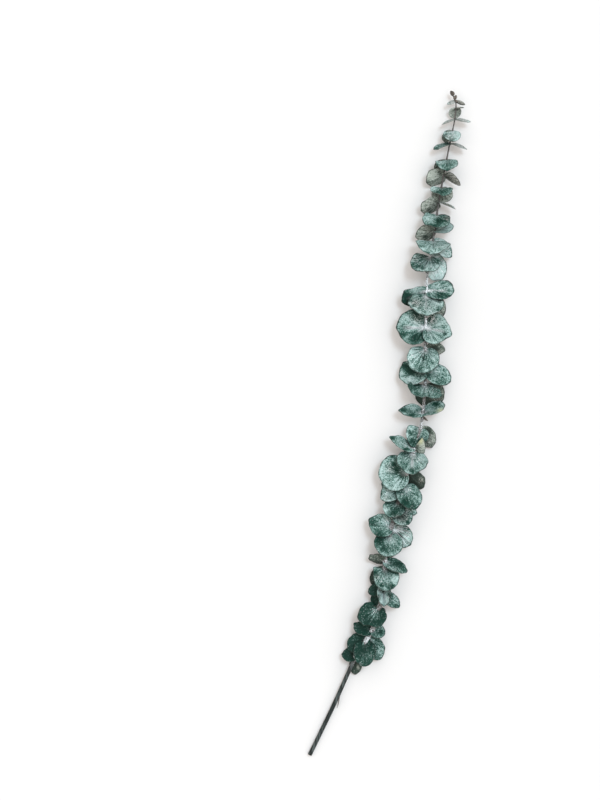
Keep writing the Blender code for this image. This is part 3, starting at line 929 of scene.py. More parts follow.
@dataclass(frozen=True)
class EdgeBand:
    """The edge of a leaf: a thin dark line, with a paler band inside it in places, which is partly pale bloom and
    partly a painted highlight along the edge.
    """

    uneven_scale: float = 300.0
    uneven: float = 0.10
    stretch_scale: float = 70.0
    dark: Band = (0.935, 0.982)
    dark_stretch: Band = (0.42, 0.56)
    dark_gain: float = 0.60
    dark_least: float = 0.40
    pale_in: Band = (0.80, 0.90)
    pale_out: Band = (0.97, 0.93)
    pale_stretch: Band = (0.60, 0.46)

    def build(self) -> Effect:
        """Makes the group.

        Returns:
            The effect, whose Dark and Pale are the masks of the two.
        """
        made = Effect("edge_band", (PLACE, Socket("Reach")), ("Dark", "Pale"))
        board, place = made.board, made.taken["Place"]
        near = board.plus(made.taken["Reach"], board.centred(board.noise(place, self.uneven_scale), self.uneven))
        stretch = board.noise(place, self.stretch_scale, detail=2.0)
        dark = board.scaled(board.ramp(stretch, *self.dark_stretch), self.dark_gain, self.dark_least)
        made.give("Dark", board.times(board.ramp(near, *self.dark), dark))
        band = board.times(board.ramp(near, *self.pale_in), board.ramp(near, *self.pale_out))
        made.give("Pale", board.times(band, board.ramp(stretch, *self.pale_stretch)))
        return made


@dataclass(frozen=True)
class SkinGrain:
    """The fine grain of dried skin and bark."""

    coarse_scale: float = 520.0
    coarse_share: float = 0.7
    fine_scale: float = 1900.0
    fine_share: float = 0.3

    def build(self) -> Effect:
        """Makes the group.

        Returns:
            The effect, whose Height is for a bump.
        """
        made = Effect("skin_grain", (PLACE,), ("Height",))
        board, place = made.board, made.taken["Place"]
        coarse = board.times(board.noise(place, self.coarse_scale, detail=3.0), self.coarse_share)
        fine = board.times(board.noise(place, self.fine_scale, detail=2.0), self.fine_share)
        made.give("Height", board.plus(coarse, fine))
        return made


class Effects:
    """The effects that the branch's materials share, each built once."""

    def __init__(self) -> None:
        """Builds them all."""
        self.bloom = WaxyBloom().build()
        self.veins = VeinFan().build()
        self.edge = EdgeBand().build()
        self.grain = SkinGrain().build()


def new_material(name: str) -> tuple[Material, Board]:
    """An empty material with a Principled BSDF.

    Args:
        name: the material's name.

    Returns:
        The material and its board.
    """
    material = bpy.data.materials.new(name)
    material.use_nodes = True
    return material, Board(material.node_tree)


@dataclass(frozen=True)
class LeafFinish:
    """One side of a leaf: green under a silvery bloom that is worn in places, with veins, a dark edge, painted shade
    under other leaves and painted light and shade on its creases.

    vein_share, net_share: how strongly the veins and the net between them show.
    vein_rise: how far the veins stand over the skin's grain, or lie below it where it is negative.
    cream: the colour of a cream place.
    dull, sleek: the roughness with and without bloom.
    bump, bump_height: how strong the skin's relief is, and its height in metres.
    sheen: the specular level.
    painted_crest_light_share: how much bloom is added between the veins and taken from on them, which is painted
    light on the crests of the creases and painted shade in their grooves.
    painted_shade_share: how far the colour goes to its painted shade colour under other leaves.
    rubbed_share, bloom_share, dusk_share, pale_share, edge_share: how strongly each of these shows.
    silver_depth: how far the bloom loses its silver where the green is deep.
    pale_depth: how deep the green is where the pale band at the edge fades out.
    root, rib_across, rib_along, rib_white, back_across, back_along: where the white at the root, along the midrib
        and at the root's other side lies on the fan and on each spoke, and how white the pair is for a midrib.
    white_gain, white_least, white_veins: how the white follows the bloom and leaves the veins out.
    """

    name: str
    deep: Colour
    green: Colour
    silver: Colour
    dusk: Colour
    vein: Colour
    white: Colour
    edge: Colour
    # the colour of the painted shade under other leaves
    shade: Colour
    vein_share: float
    net_share: float
    vein_rise: float
    cream: Colour = (0.60, 0.62, 0.38)
    dull: float = 0.80
    sleek: float = 0.48
    bump: float = 0.55
    bump_height: float = 0.0004
    sheen: float = 0.14
    painted_crest_light_share: float = 0.32
    painted_shade_share: float = 0.85
    rubbed_share: float = 0.8
    bloom_share: float = 0.94
    dusk_share: float = 0.85
    pale_share: float = 0.65
    edge_share: float = 0.90
    silver_depth: float = 0.55
    pale_depth: Band = (0.7, 0.0)
    root: Band = (0.32, 0.0)
    rib_across: Band = (0.10, 0.01)
    rib_along: Band = (0.85, 0.30)
    rib_white: Band = (0.6, 1.0)
    back_across: Band = (0.88, 0.97)
    back_along: Band = (1.0, 0.8)
    white_gain: float = 0.4
    white_least: float = 0.8
    white_veins: float = 0.3

    def skin(self, board: Board, bloom: bpy.types.NodeOutputs, depth: Output, dusk: Output) -> Output:
        """The skin without its veins: green, bloom and dusk.

        Args:
            board: the material's board.
            bloom: the bloom's outputs.
            depth: how deep the green is.
            dusk: how dusky it is.

        Returns:
            The output that holds the colour.
        """
        colour = board.mix(depth, self.green, self.deep)
        silver = board.mix(board.times(depth, self.silver_depth), self.silver, self.green)
        grey = board.mix(bloom["Bloom"], self.vein, self.dusk)
        return board.blend(
            colour,
            (board.times(bloom["Rubbed"], self.rubbed_share), self.deep),
            (board.times(bloom["Bloom"], self.bloom_share), silver),
            (board.times(board.most(dusk), self.dusk_share), grey),
        )

    def near_root(self, board: Board, blade: tuple[Output, ...], bloom: Output, veins: Output) -> Output:
        """The white at the root and along the midrib.

        Args:
            board: the material's board.
            blade: the place on the fan, how far out on its spoke it is, and how white the pair is.
            bloom: the bloom's mask.
            veins: the veins' mask.

        Returns:
            The output that holds its mask.
        """
        fan, reach, white = blade
        root = board.ramp(reach, *self.root)
        rib = board.times(board.ramp(fan, *self.rib_across), board.ramp(reach, *self.rib_along))
        rib = board.times(rib, board.ramp(white, *self.rib_white))
        back = board.times(board.ramp(fan, *self.back_across), board.ramp(reach, *self.back_along))
        near = board.times(board.most(board.most(root, rib), back), white)
        uneven = board.scaled(bloom, self.white_gain, self.white_least)
        return board.times(near, board.minus(uneven, board.times(veins, self.white_veins)))

    def build(self, effects: Effects) -> Material:
        """Makes the material.

        Args:
            effects: the shared effects.

        Returns:
            The material.
        """
        material, board = new_material(self.name)
        place = board.where()
        blade = board.attribute("blade")
        fan, reach, _ = blade
        amount, depth, dusk = board.attribute("tone")
        # the look's third number is how far other leaves cover a place, which sets the painted shade there
        strength, dust, painted_shade = board.attribute("look")
        veins = effects.veins.place(board, {"Place": place, "Fan": fan, "Reach": reach})
        edge = effects.edge.place(board, {"Place": place, "Reach": reach})
        # painted light and shade on the creases: more bloom on their crests between the veins, less in their grooves
        # on the veins
        crest = board.centred(veins["Crests"], self.painted_crest_light_share)
        crest = board.times(crest, board.math("ABSOLUTE", strength))
        bloom = effects.bloom.place(board, {"Place": place, "Amount": board.plus(amount, crest)})
        # the pale band at the edge is partly pale bloom and partly a painted highlight
        band = board.times(edge["Pale"], board.ramp(depth, *self.pale_depth))
        dark = board.times(board.most(strength), self.vein_share)
        pale = board.most(board.times(strength, -1.0))
        colour = board.blend(
            self.skin(board, bloom, depth, dusk),
            (board.times(band, self.pale_share), self.silver),
            (board.times(veins["Veins"], dark), self.vein),
            (board.times(veins["Veins"], pale), self.white),
            (board.times(veins["Net"], self.net_share), self.vein),
            (board.most(board.times(dusk, -1.0)), self.cream),
            (board.times(edge["Dark"], self.edge_share), self.edge),
            (self.near_root(board, blade, bloom["Bloom"], veins["Veins"]), self.white),
            (board.times(bloom["Specks"], dust), self.white),
            # painted shade where other leaves cover the place
            (board.times(painted_shade, self.painted_shade_share), self.shade),
        )
        grain = effects.grain.place(board, {"Place": place})["Height"]
        raised = board.plus(grain, board.times(veins["Veins"], self.vein_rise))
        board.dress({
            "Base Color": colour,
            "Roughness": board.between(bloom["Bloom"], self.sleek, self.dull),
            "Normal": board.bump(raised, self.bump, self.bump_height),
            "Specular IOR Level": self.sheen,
        })
        return material


UPPER_SIDE = LeafFinish(
    name="leaf_upper_side",
    deep=(0.006, 0.041, 0.029),
    green=(0.060, 0.190, 0.148),
    silver=(0.515, 0.690, 0.672),
    dusk=(0.600, 0.575, 0.560),
    vein=(0.014, 0.044, 0.033),
    white=(0.900, 0.930, 0.960),
    edge=(0.014, 0.024, 0.019),
    shade=(0.003, 0.013, 0.010),
    vein_share=0.62,
    net_share=0.22,
    vein_rise=-0.6,
)
UNDERSIDE = LeafFinish(
    name="leaf_underside",
    deep=(0.024, 0.048, 0.038),
    green=(0.185, 0.235, 0.196),
    silver=(0.520, 0.575, 0.520),
    dusk=(0.500, 0.480, 0.445),
    vein=(0.044, 0.056, 0.044),
    white=(0.560, 0.580, 0.560),
    edge=(0.020, 0.021, 0.017),
    shade=(0.010, 0.014, 0.011),
    vein_share=0.85,
    net_share=0.28,
    vein_rise=0.8,
)


@dataclass(frozen=True)
class RimFinish:
    """The thin cut of a leaf's edge: dark brown-green, worn pale in places."""

    dark: Colour = (0.045, 0.065, 0.052)
    pale: Colour = (0.260, 0.320, 0.280)
    roughness: float = 0.7
    worn_scale: float = 210.0
    worn: Band = (0.50, 0.66)

    def build(self) -> Material:
        """Makes the material.

        Returns:
            The material.
        """
        material, board = new_material("leaf_rim")
        worn = board.ramp(board.noise(board.where(), self.worn_scale, detail=3.0), *self.worn)
        board.dress({"Base Color": board.mix(worn, self.dark, self.pale), "Roughness": self.roughness})
        return material


@dataclass(frozen=True)
class BarkFinish:
    """The stem's skin: mauve-brown above, dark bare bark at the cut end, whitish bloom round each node, and darker
    with less bloom under the leaves, which is a painted shade.

    fibre_draw, strip_draw: how far the fine fibres and the wide strips are drawn out along the stem.
    fibre_scale, strip_scale: how many of them lie in a metre.
    fibres, strips: where on their patterns they begin and end.
    fibre_share: how strongly the fibres show.
    strip_gain, strip_least: how strongly the strips show, which rises with age.
    cover: how white the stem is where its bloom begins and is whole.
    dull, sleek: the roughness with and without bloom.
    bump, bump_height: how strong the bark's relief is, and its height in metres.
    grain_share: how much the grain counts beside the fibres.
    """

    young: Colour = (0.125, 0.112, 0.106)
    old: Colour = (0.017, 0.024, 0.023)
    strip: Colour = (0.080, 0.098, 0.096)
    streak: Colour = (0.036, 0.034, 0.034)
    bloom: Colour = (0.800, 0.850, 0.880)
    sheen: float = 0.16
    bump: float = 0.6
    bump_height: float = 0.0004
    fibre_draw: Point = (1.0, 0.16, 1.0)
    fibre_scale: float = 1500.0
    fibres: Band = (0.50, 0.64)
    fibre_share: float = 0.6
    strip_draw: Point = (1.0, 0.04, 1.0)
    strip_scale: float = 620.0
    strips: Band = (0.50, 0.60)
    strip_gain: float = 0.6
    strip_least: float = 0.3
    cover: Band = (0.0, 0.7)
    sleek: float = 0.50
    dull: float = 0.85
    grain_share: float = 0.4

    def build(self, effects: Effects, name: str) -> Material:
        """Makes the material.

        Args:
            effects: the shared effects.
            name: the material's name.

        Returns:
            The material.
        """
        material, board = new_material(name)
        place = board.where()
        # the age also carries the painted shade under the leaves, where the white is less too
        age, white, _ = board.attribute("bark")
        fibres = board.noise(board.drawn_out(place, self.fibre_draw), self.fibre_scale, detail=3.0)
        strips = board.noise(board.drawn_out(place, self.strip_draw), self.strip_scale, detail=1.0)
        aged = board.scaled(age, self.strip_gain, self.strip_least)
        bloom = effects.bloom.place(board, {"Place": place, "Amount": white})
        cover = board.times(bloom["Bloom"], board.ramp(white, *self.cover))
        colour = board.blend(
            board.mix(age, self.young, self.old),
            (board.times(board.ramp(fibres, *self.fibres), self.fibre_share), self.streak),
            (board.times(aged, board.ramp(strips, *self.strips)), self.strip),
            (cover, self.bloom),
        )
        grain = effects.grain.place(board, {"Place": place})["Height"]
        raised = board.plus(board.times(grain, self.grain_share), fibres)
        board.dress({
            "Base Color": colour,
            "Roughness": board.between(cover, self.sleek, self.dull),
            "Normal": board.bump(raised, self.bump, self.bump_height),
            "Specular IOR Level": self.sheen,
        })
        return material


STEM_BARK = BarkFinish()
BUD_BARK = BarkFinish(young=(0.13, 0.11, 0.09), old=(0.05, 0.042, 0.036), strip=(0.20, 0.17, 0.14))


@dataclass(frozen=True)
class CutFinish:
    """The cut end of the stem: pale wood with a darker pith. Its bump_height is in metres."""

    wood: Colour = (0.420, 0.330, 0.220)
    pith: Colour = (0.200, 0.140, 0.090)
    grain_scale: float = 2600.0
    grain: Band = (0.35, 0.7)
    pith_reach: Band = (0.30, 0.12)
    roughness: float = 0.8
    bump: float = 0.5
    bump_height: float = 0.0002

    def build(self) -> Material:
        """Makes the material.

        Returns:
            The material.
        """
        material, board = new_material("cut_wood")
        _, _, out = board.attribute("bark")
        grain = board.noise(board.where(), self.grain_scale, detail=3.0)
        colour = board.mix(board.ramp(grain, *self.grain), self.wood, self.pith)
        colour = board.mix(board.ramp(out, *self.pith_reach), colour, self.pith)
        normal = board.bump(grain, self.bump, self.bump_height)
        board.dress({"Base Color": colour, "Normal": normal, "Roughness": self.roughness})
        return material


@dataclass(frozen=True)
class SurfaceFinish:
    """The pale matt surface that the branch lies on."""

    light: Colour = (0.774, 0.768, 0.764)
    shade: Colour = (0.764, 0.759, 0.756)
    cloud_scale: float = 3.0
    roughness: float = 0.9
    sheen: float = 0.1

    def build(self) -> Material:
        """Makes the material.

        Returns:
            The material.
        """
        material, board = new_material("pale_surface")
        colour = board.mix(board.noise(board.where(), self.cloud_scale), self.light, self.shade)
        board.dress({"Base Color": colour, "Roughness": self.roughness, "Specular IOR Level": self.sheen})
        return material


def vector_attribute(mesh: bpy.types.Mesh, name: str, values: np.ndarray) -> None:
    """Stores three numbers for each vertex of a mesh.

    Args:
        mesh: the mesh.
        name: the attribute's name.
        values: one row of three numbers for each vertex.
    """
    layer = mesh.attributes.new(name, "FLOAT_VECTOR", "POINT")
    layer.data.foreach_set("vector", np.asarray(values, np.float32).ravel())


def finish_mesh(mesh: bpy.types.Mesh, *finishes: Material) -> None:
    """Gives a mesh its materials and smooths it.

    Args:
        mesh: the mesh.
        finishes: the materials, in the order of their slots.
    """
    for finish in finishes:
        mesh.materials.append(finish)
    mesh.polygons.foreach_set("use_smooth", [True] * len(mesh.polygons))


def new_mesh(name: str, points: np.ndarray, faces: list[tuple[int, ...]], *finishes: Material) -> bpy.types.Mesh:
    """A smooth mesh.

    Args:
        name: its name.
        points: its places, in mm.
        faces: the numbers of each face's corners.
        finishes: its materials, in the order of their slots.

    Returns:
        The mesh, in metres in the row frame.
    """
    mesh = bpy.data.meshes.new(name)
    mesh.from_pydata(((points - MIDDLE) * MM).tolist(), [], faces)
    finish_mesh(mesh, *finishes)
    return mesh


def bell(off: np.ndarray | float, spread: float) -> np.ndarray | float:
    """A soft hump: 1 in its middle, and next to nothing at twice its spread off it."""
    return np.exp(-((off / spread) ** 2))


def direction(heading: float, height: float) -> Vector:
    """A direction from two angles.

    Args:
        heading: where it points seen from above, in degrees from +Y, clockwise.
        height: how far it points up, in degrees.

    Returns:
        The unit vector.
    """
    heading, height = math.radians(heading), math.radians(height)
    return Vector((math.sin(heading) * math.cos(height), math.cos(heading) * math.cos(height), math.sin(height)))


def hand_over(obj: bpy.types.Object) -> None:
    """Places a finished piece in the scene, on the body that carries it.

    Args:
        obj: the piece, in the row frame.
    """
    bpy.context.scene.collection.objects.link(obj)
    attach(obj, BODY)
    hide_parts(NODE)
    LOG.info("%s: %d vertices", obj.name, len(obj.data.vertices))


@dataclass(frozen=True)
class Wave:
    """How one leaf's edge waves: its number, how far as a share of its width, and where the waves begin."""

    number: int
    share: float
    phase: float


@dataclass(frozen=True)
class Blade:
    """The form that all the leaves share, and the grid that each is drawn with.

    thickness, edge_share: how thick it is, and what share of that is left at its edge.
    lobe, notch, point: how far the lobes beside the root, the notch at it and the tip change the plain oval.
    crease: how wide the fold at the midrib is rounded, as a share of its half width.
    waves, wave_share: how many waves the edge has, and how high the lowest and the highest are, as shares of the
        leaf's width.
    floor: how low a leaf may lie.
    root_share: how far from the middle the fan's centre lies, as a share of the half length.
    spokes, rings: the grid's spokes, and how far out on them its rings lie.
    veins, vein_depth, vein_power: the creases on each half, how deep they are, and how evenly along a vein.
    usual_width: the width of leaf that the depths are given for.
    crinkle, crinkles, crinkle_share, crinkle_power: how high the edge is crinkled, by how many waves, how strong
        the least and the strongest are, and how closely they keep to the edge.
    ragged, ragged_waves, ragged_power: the same for how uneven the outline is.
    corner_spread, flat_spread: how wide a corner that stands out or back is, in radians.
    warp: how far the whole blade is twisted, as a share of its width.
    dents, dent_length, dent_depth: how many soft dents it has, how long and how deep they are.
    """

    thickness: float = 0.5
    edge_share: float = 0.5
    lobe: float = 0.07
    lobe_angle: float = 2.45
    lobe_spread: float = 0.45
    notch: float = 0.10
    notch_spread: float = 0.22
    point: float = 0.05
    point_spread: float = 0.2
    crease: float = 0.1
    waves: int = 3
    wave_share: Range = (0.015, 0.04)
    floor: float = 0.35
    root_share: float = 0.84
    spokes: int = 72
    rings: tuple[float, ...] = (
        0.07, 0.15, 0.23, 0.31, 0.39, 0.47, 0.55, 0.63, 0.71, 0.78, 0.84, 0.89, 0.93, 0.965, 0.99, 1.0,
    )  # fmt: skip
    veins: int = 6
    vein_depth: float = 0.28
    vein_power: float = 0.7
    midrib_depth: float = 0.40
    midrib_spread: float = 0.10
    usual_width: float = 30.0
    crinkle: float = 0.21
    crinkles: tuple[int, ...] = (7, 11, 17)
    crinkle_share: Range = (0.3, 1.0)
    crinkle_power: int = 5
    ragged: float = 0.011
    ragged_waves: tuple[int, ...] = (4, 6, 9, 13)
    ragged_power: int = 3
    corner_spread: float = 0.22
    flat_spread: float = 0.50
    warp: float = 0.020
    dents: int = 4
    dent_length: Range = (7.0, 14.0)
    dent_depth: float = 0.26

    def outline(self, theta: np.ndarray | float) -> np.ndarray | float:
        """How far the edge is from the middle against a plain oval.

        Args:
            theta: the angle from the tip, in radians.

        Returns:
            The distance, 1 where it is the oval's.
        """
        off = np.abs(theta)
        lobes = self.lobe * bell(off - self.lobe_angle, self.lobe_spread)
        notch = self.notch * bell(off - math.pi, self.notch_spread)
        point = self.point * bell(off, self.point_spread)
        return 1.0 + lobes - notch + point

    @property
    def turns(self) -> np.ndarray:
        """The angles from the tip at which the spokes meet the edge."""
        turn = np.linspace(-math.pi, math.pi, self.spokes, endpoint=False) + math.pi / self.spokes
        return np.concatenate([turn[turn < 0.0], [0.0], turn[turn > 0.0]])

    def on_spokes(self, ends: np.ndarray) -> np.ndarray:
        """What each spoke's end has, for every place of the grid on that spoke."""
        return np.concatenate([[0.0], np.tile(ends, len(self.rings))])

    @property
    def out(self) -> np.ndarray:
        """How far out on its spoke each place of the grid is."""
        return np.concatenate([[0.0], np.repeat(self.rings, len(self.turns))])

    def grid(self) -> tuple[np.ndarray, np.ndarray]:
        """The places that a blade is drawn at, as a fan from near its root.

        Returns:
            For each place the distance from the middle as a share of the oval's, and the angle from the tip. The
            first place is the fan's own centre.
        """
        turn = self.turns
        edge = self.outline(turn)[:, None] * np.stack([np.sin(turn), np.cos(turn)], axis=-1)
        centre = np.array([0.0, -self.root_share])
        share = np.array(self.rings)[:, None, None]
        flat = np.vstack([centre, (centre + share * (edge - centre)).reshape(-1, 2)])
        return np.hypot(flat[:, 0], flat[:, 1]), np.arctan2(flat[:, 0], flat[:, 1])

    def faces(self) -> list[tuple[int, ...]]:
        """The grid's faces, with their upper side out.

        Returns:
            The numbers of each face's corners.
        """
        count = len(self.turns)
        found: list[tuple[int, ...]] = []
        for k in range(count):
            n = (k + 1) % count
            found.append((0, 1 + n, 1 + k))
            for ring in range(len(self.rings) - 1):
                a, b = 1 + ring * count, 1 + (ring + 1) * count
                found.append((a + k, a + n, b + n, b + k))
        return found

    def relief(self, leaf: Leaf, flat: np.ndarray, draw: np.random.Generator) -> np.ndarray:
        """The creases along the veins, the crinkled edge and the soft dents.

        Args:
            leaf: the leaf.
            flat: where each place lies across and along the leaf, in mm.
            draw: the leaf's own draws.

        Returns:
            How far each place stands over the plain sheet, in mm.
        """
        turn, out = self.on_spokes(self.turns), self.out
        size = leaf.width / self.usual_width
        middle = np.sin(np.pi * np.clip(out, 0.0, 1.0)) ** self.vein_power
        pleats = -self.vein_depth * leaf.pleats * size * np.cos(2.0 * self.veins * turn) * middle
        midrib = -self.midrib_depth * size * bell(turn, self.midrib_spread) * middle
        edge = np.zeros_like(turn)
        for count in self.crinkles:
            edge = edge + draw.uniform(*self.crinkle_share) * np.sin(count * turn + draw.uniform(0.0, math.tau))
        dents = np.zeros_like(turn)
        for _ in range(self.dents):
            length = draw.uniform(*self.dent_length)
            way = draw.uniform(0.0, math.tau)
            phase = draw.uniform(0.0, math.tau)
            dents = dents + np.sin(math.tau / length * (flat @ np.array([math.cos(way), math.sin(way)])) + phase)
        crinkled = self.crinkle * size * edge * out**self.crinkle_power
        return pleats + midrib + crinkled + self.dent_depth * size * dents * out

    def sheet(self, leaf: Leaf, wave: Wave, bulge: np.ndarray | float) -> np.ndarray:
        """The leaf's middle surface before it is placed.

        Args:
            leaf: the leaf.
            wave: how its edge waves.
            bulge: how far each place's spoke stands out at the edge, as a share of the leaf's half size.

        Returns:
            For each place of the grid, x across the leaf, y along its midrib and z to its upper side, in mm.
        """
        draw = np.random.default_rng([DETAIL_SEED, wave.number])
        reach, theta = self.grid()
        turn = self.on_spokes(self.turns)
        rho = reach / self.outline(theta)
        ragged = np.zeros_like(turn)
        for count in self.ragged_waves:
            ragged = ragged + draw.uniform(-1.0, 1.0) * np.sin(count * turn + draw.uniform(0.0, math.tau))
        reach = reach * (1.0 + (self.ragged * ragged + bulge) * self.out**self.ragged_power)
        across = reach * np.sin(theta) * (1.0 - leaf.egg * np.cos(theta))
        y = 0.5 * leaf.length * (self.outline(math.pi) + reach * np.cos(theta))
        fold = math.radians(leaf.fold)
        x = 0.5 * leaf.width * across * math.cos(fold)
        z = 0.5 * leaf.width * (np.hypot(across, self.crease) - self.crease) * math.sin(fold)
        z = z + leaf.cup * leaf.width * across**2
        z = z + wave.share * leaf.width * rho**3 * np.sin(self.waves * theta + wave.phase)
        z = z + self.warp * leaf.width * rho**2 * np.sin(2.0 * theta + draw.uniform(0.0, math.tau))
        z = z + self.relief(leaf, np.stack([x, y], axis=-1), draw)
        bend = math.radians(leaf.curl) * y / leaf.length
        bend = np.where(np.abs(bend) < STRAIGHT, STRAIGHT, bend)
        along = y * np.sin(bend) / bend - z * np.sin(bend)
        height = y * (1.0 - np.cos(bend)) / bend + z * np.cos(bend)
        return np.stack([x, along, height], axis=-1)

    @staticmethod
    def axes(leaf: Leaf) -> np.ndarray:
        """The directions across the leaf, along its midrib and out of its upper side.

        Args:
            leaf: the leaf.

        Returns:
            The three directions as rows.
        """
        face, sway = math.radians(leaf.face), math.radians(leaf.sway)
        along = direction(leaf.heading, leaf.lift)
        looks = Vector((math.sin(sway), math.cos(sway) * math.cos(face), math.cos(sway) * math.sin(face)))
        upper = (looks - along * looks.dot(along)).normalized()
        return np.array([along.cross(upper), along, upper])

    def press(self, points: np.ndarray, upper: np.ndarray) -> np.ndarray:
        """Bends what would reach below the surface up onto it and out sideways.

        Args:
            points: the places, in mm.
            upper: the direction out of the leaf's upper side.

        Returns:
            The places, bent.
        """
        depth = np.maximum(self.floor - points[:, 2], 0.0)
        sideways = np.array([upper[0], upper[1], 0.0])
        return points + depth[:, None] * (UP + sideways)

    @staticmethod
    def as_seen(points: np.ndarray) -> np.ndarray:
        """Each place as seen from above, from -1 to 1 across the leaf's outline."""
        low, high = points[:, :2].min(axis=0), points[:, :2].max(axis=0)
        return (points[:, :2] - 0.5 * (low + high)) / (0.5 * (high - low))

    def bulge(self, leaf: Leaf, points: np.ndarray) -> np.ndarray:
        """How far the leaf's corners move each spoke's end.

        Args:
            leaf: the leaf.
            points: its places without the corners, in mm.

        Returns:
            The share for each place of the grid.
        """
        seen = self.as_seen(points)[-len(self.turns) :]
        angle = np.arctan2(seen[:, 0], seen[:, 1])
        moved = np.zeros_like(angle)
        for towards, amount in leaf.corners:
            off = (angle - math.radians(towards) + math.pi) % math.tau - math.pi
            moved += amount * bell(off, self.corner_spread if amount > 0.0 else self.flat_spread)
        return self.on_spokes(moved)

    def points(self, leaf: Leaf, root: np.ndarray, wave: Wave) -> np.ndarray:
        """Where the whole leaf lies.

        Args:
            leaf: the leaf.
            root: the place on the stem's axis that it grows from, in mm.
            wave: how its edge waves.

        Returns:
            The places of the grid, in mm.
        """
        axes = self.axes(leaf)
        plain = self.press(root + self.sheet(leaf, wave, 0.0) @ axes, axes[2])
        return self.press(root + self.sheet(leaf, wave, self.bulge(leaf, plain)) @ axes, axes[2])


class Canopy:
    """All the leaves as one sheet of faces, to find how far they cover a place, which sets the painted shade there.
    """

    def __init__(self, sheets: list[np.ndarray], faces: list[tuple[int, ...]], rays: int = 14) -> None:
        """Joins the leaves.

        Args:
            sheets: the places of each leaf's grid, in mm.
            faces: the faces of the grid.
            rays: how many directions are tried from each place.
        """
        size = len(sheets[0])
        joined = [tuple(corner + size * number for corner in face) for number in range(len(sheets)) for face in faces]
        self.tree = BVHTree.FromPolygons(np.vstack(sheets).tolist(), joined)
        self.rays = []
        for k in range(rays):
            flat, turn = math.sqrt((k + 0.5) / rays), k * GOLDEN_TURN
            self.rays.append(Vector((flat * math.cos(turn), flat * math.sin(turn), math.sqrt(1.0 - flat * flat))))

    def painted_shade(self, points: np.ndarray, start: float = 0.9, reach: float = 16.0, gain: float = 2.0) -> np.ndarray:
        """How far the leaves above cover each place, which sets how much shade is painted there.

        Args:
            points: the places, in mm.
            start: how far from a place each ray starts, in mm.
            reach: how far it goes, in mm.
            gain: by how much the share of covered rays counts.

        Returns:
            The share of each, 0 in the open and 1 deep under other leaves.
        """
        found = []
        for point in points.tolist():
            place, total = Vector(point), 0.0
            for ray in self.rays:
                distance = self.tree.ray_cast(place + ray * start, ray, reach)[3]
                if distance is not None:
                    total += 1.0 - distance / reach
            found.append(min(1.0, gain * total / len(self.rays)))
        return np.array(found)


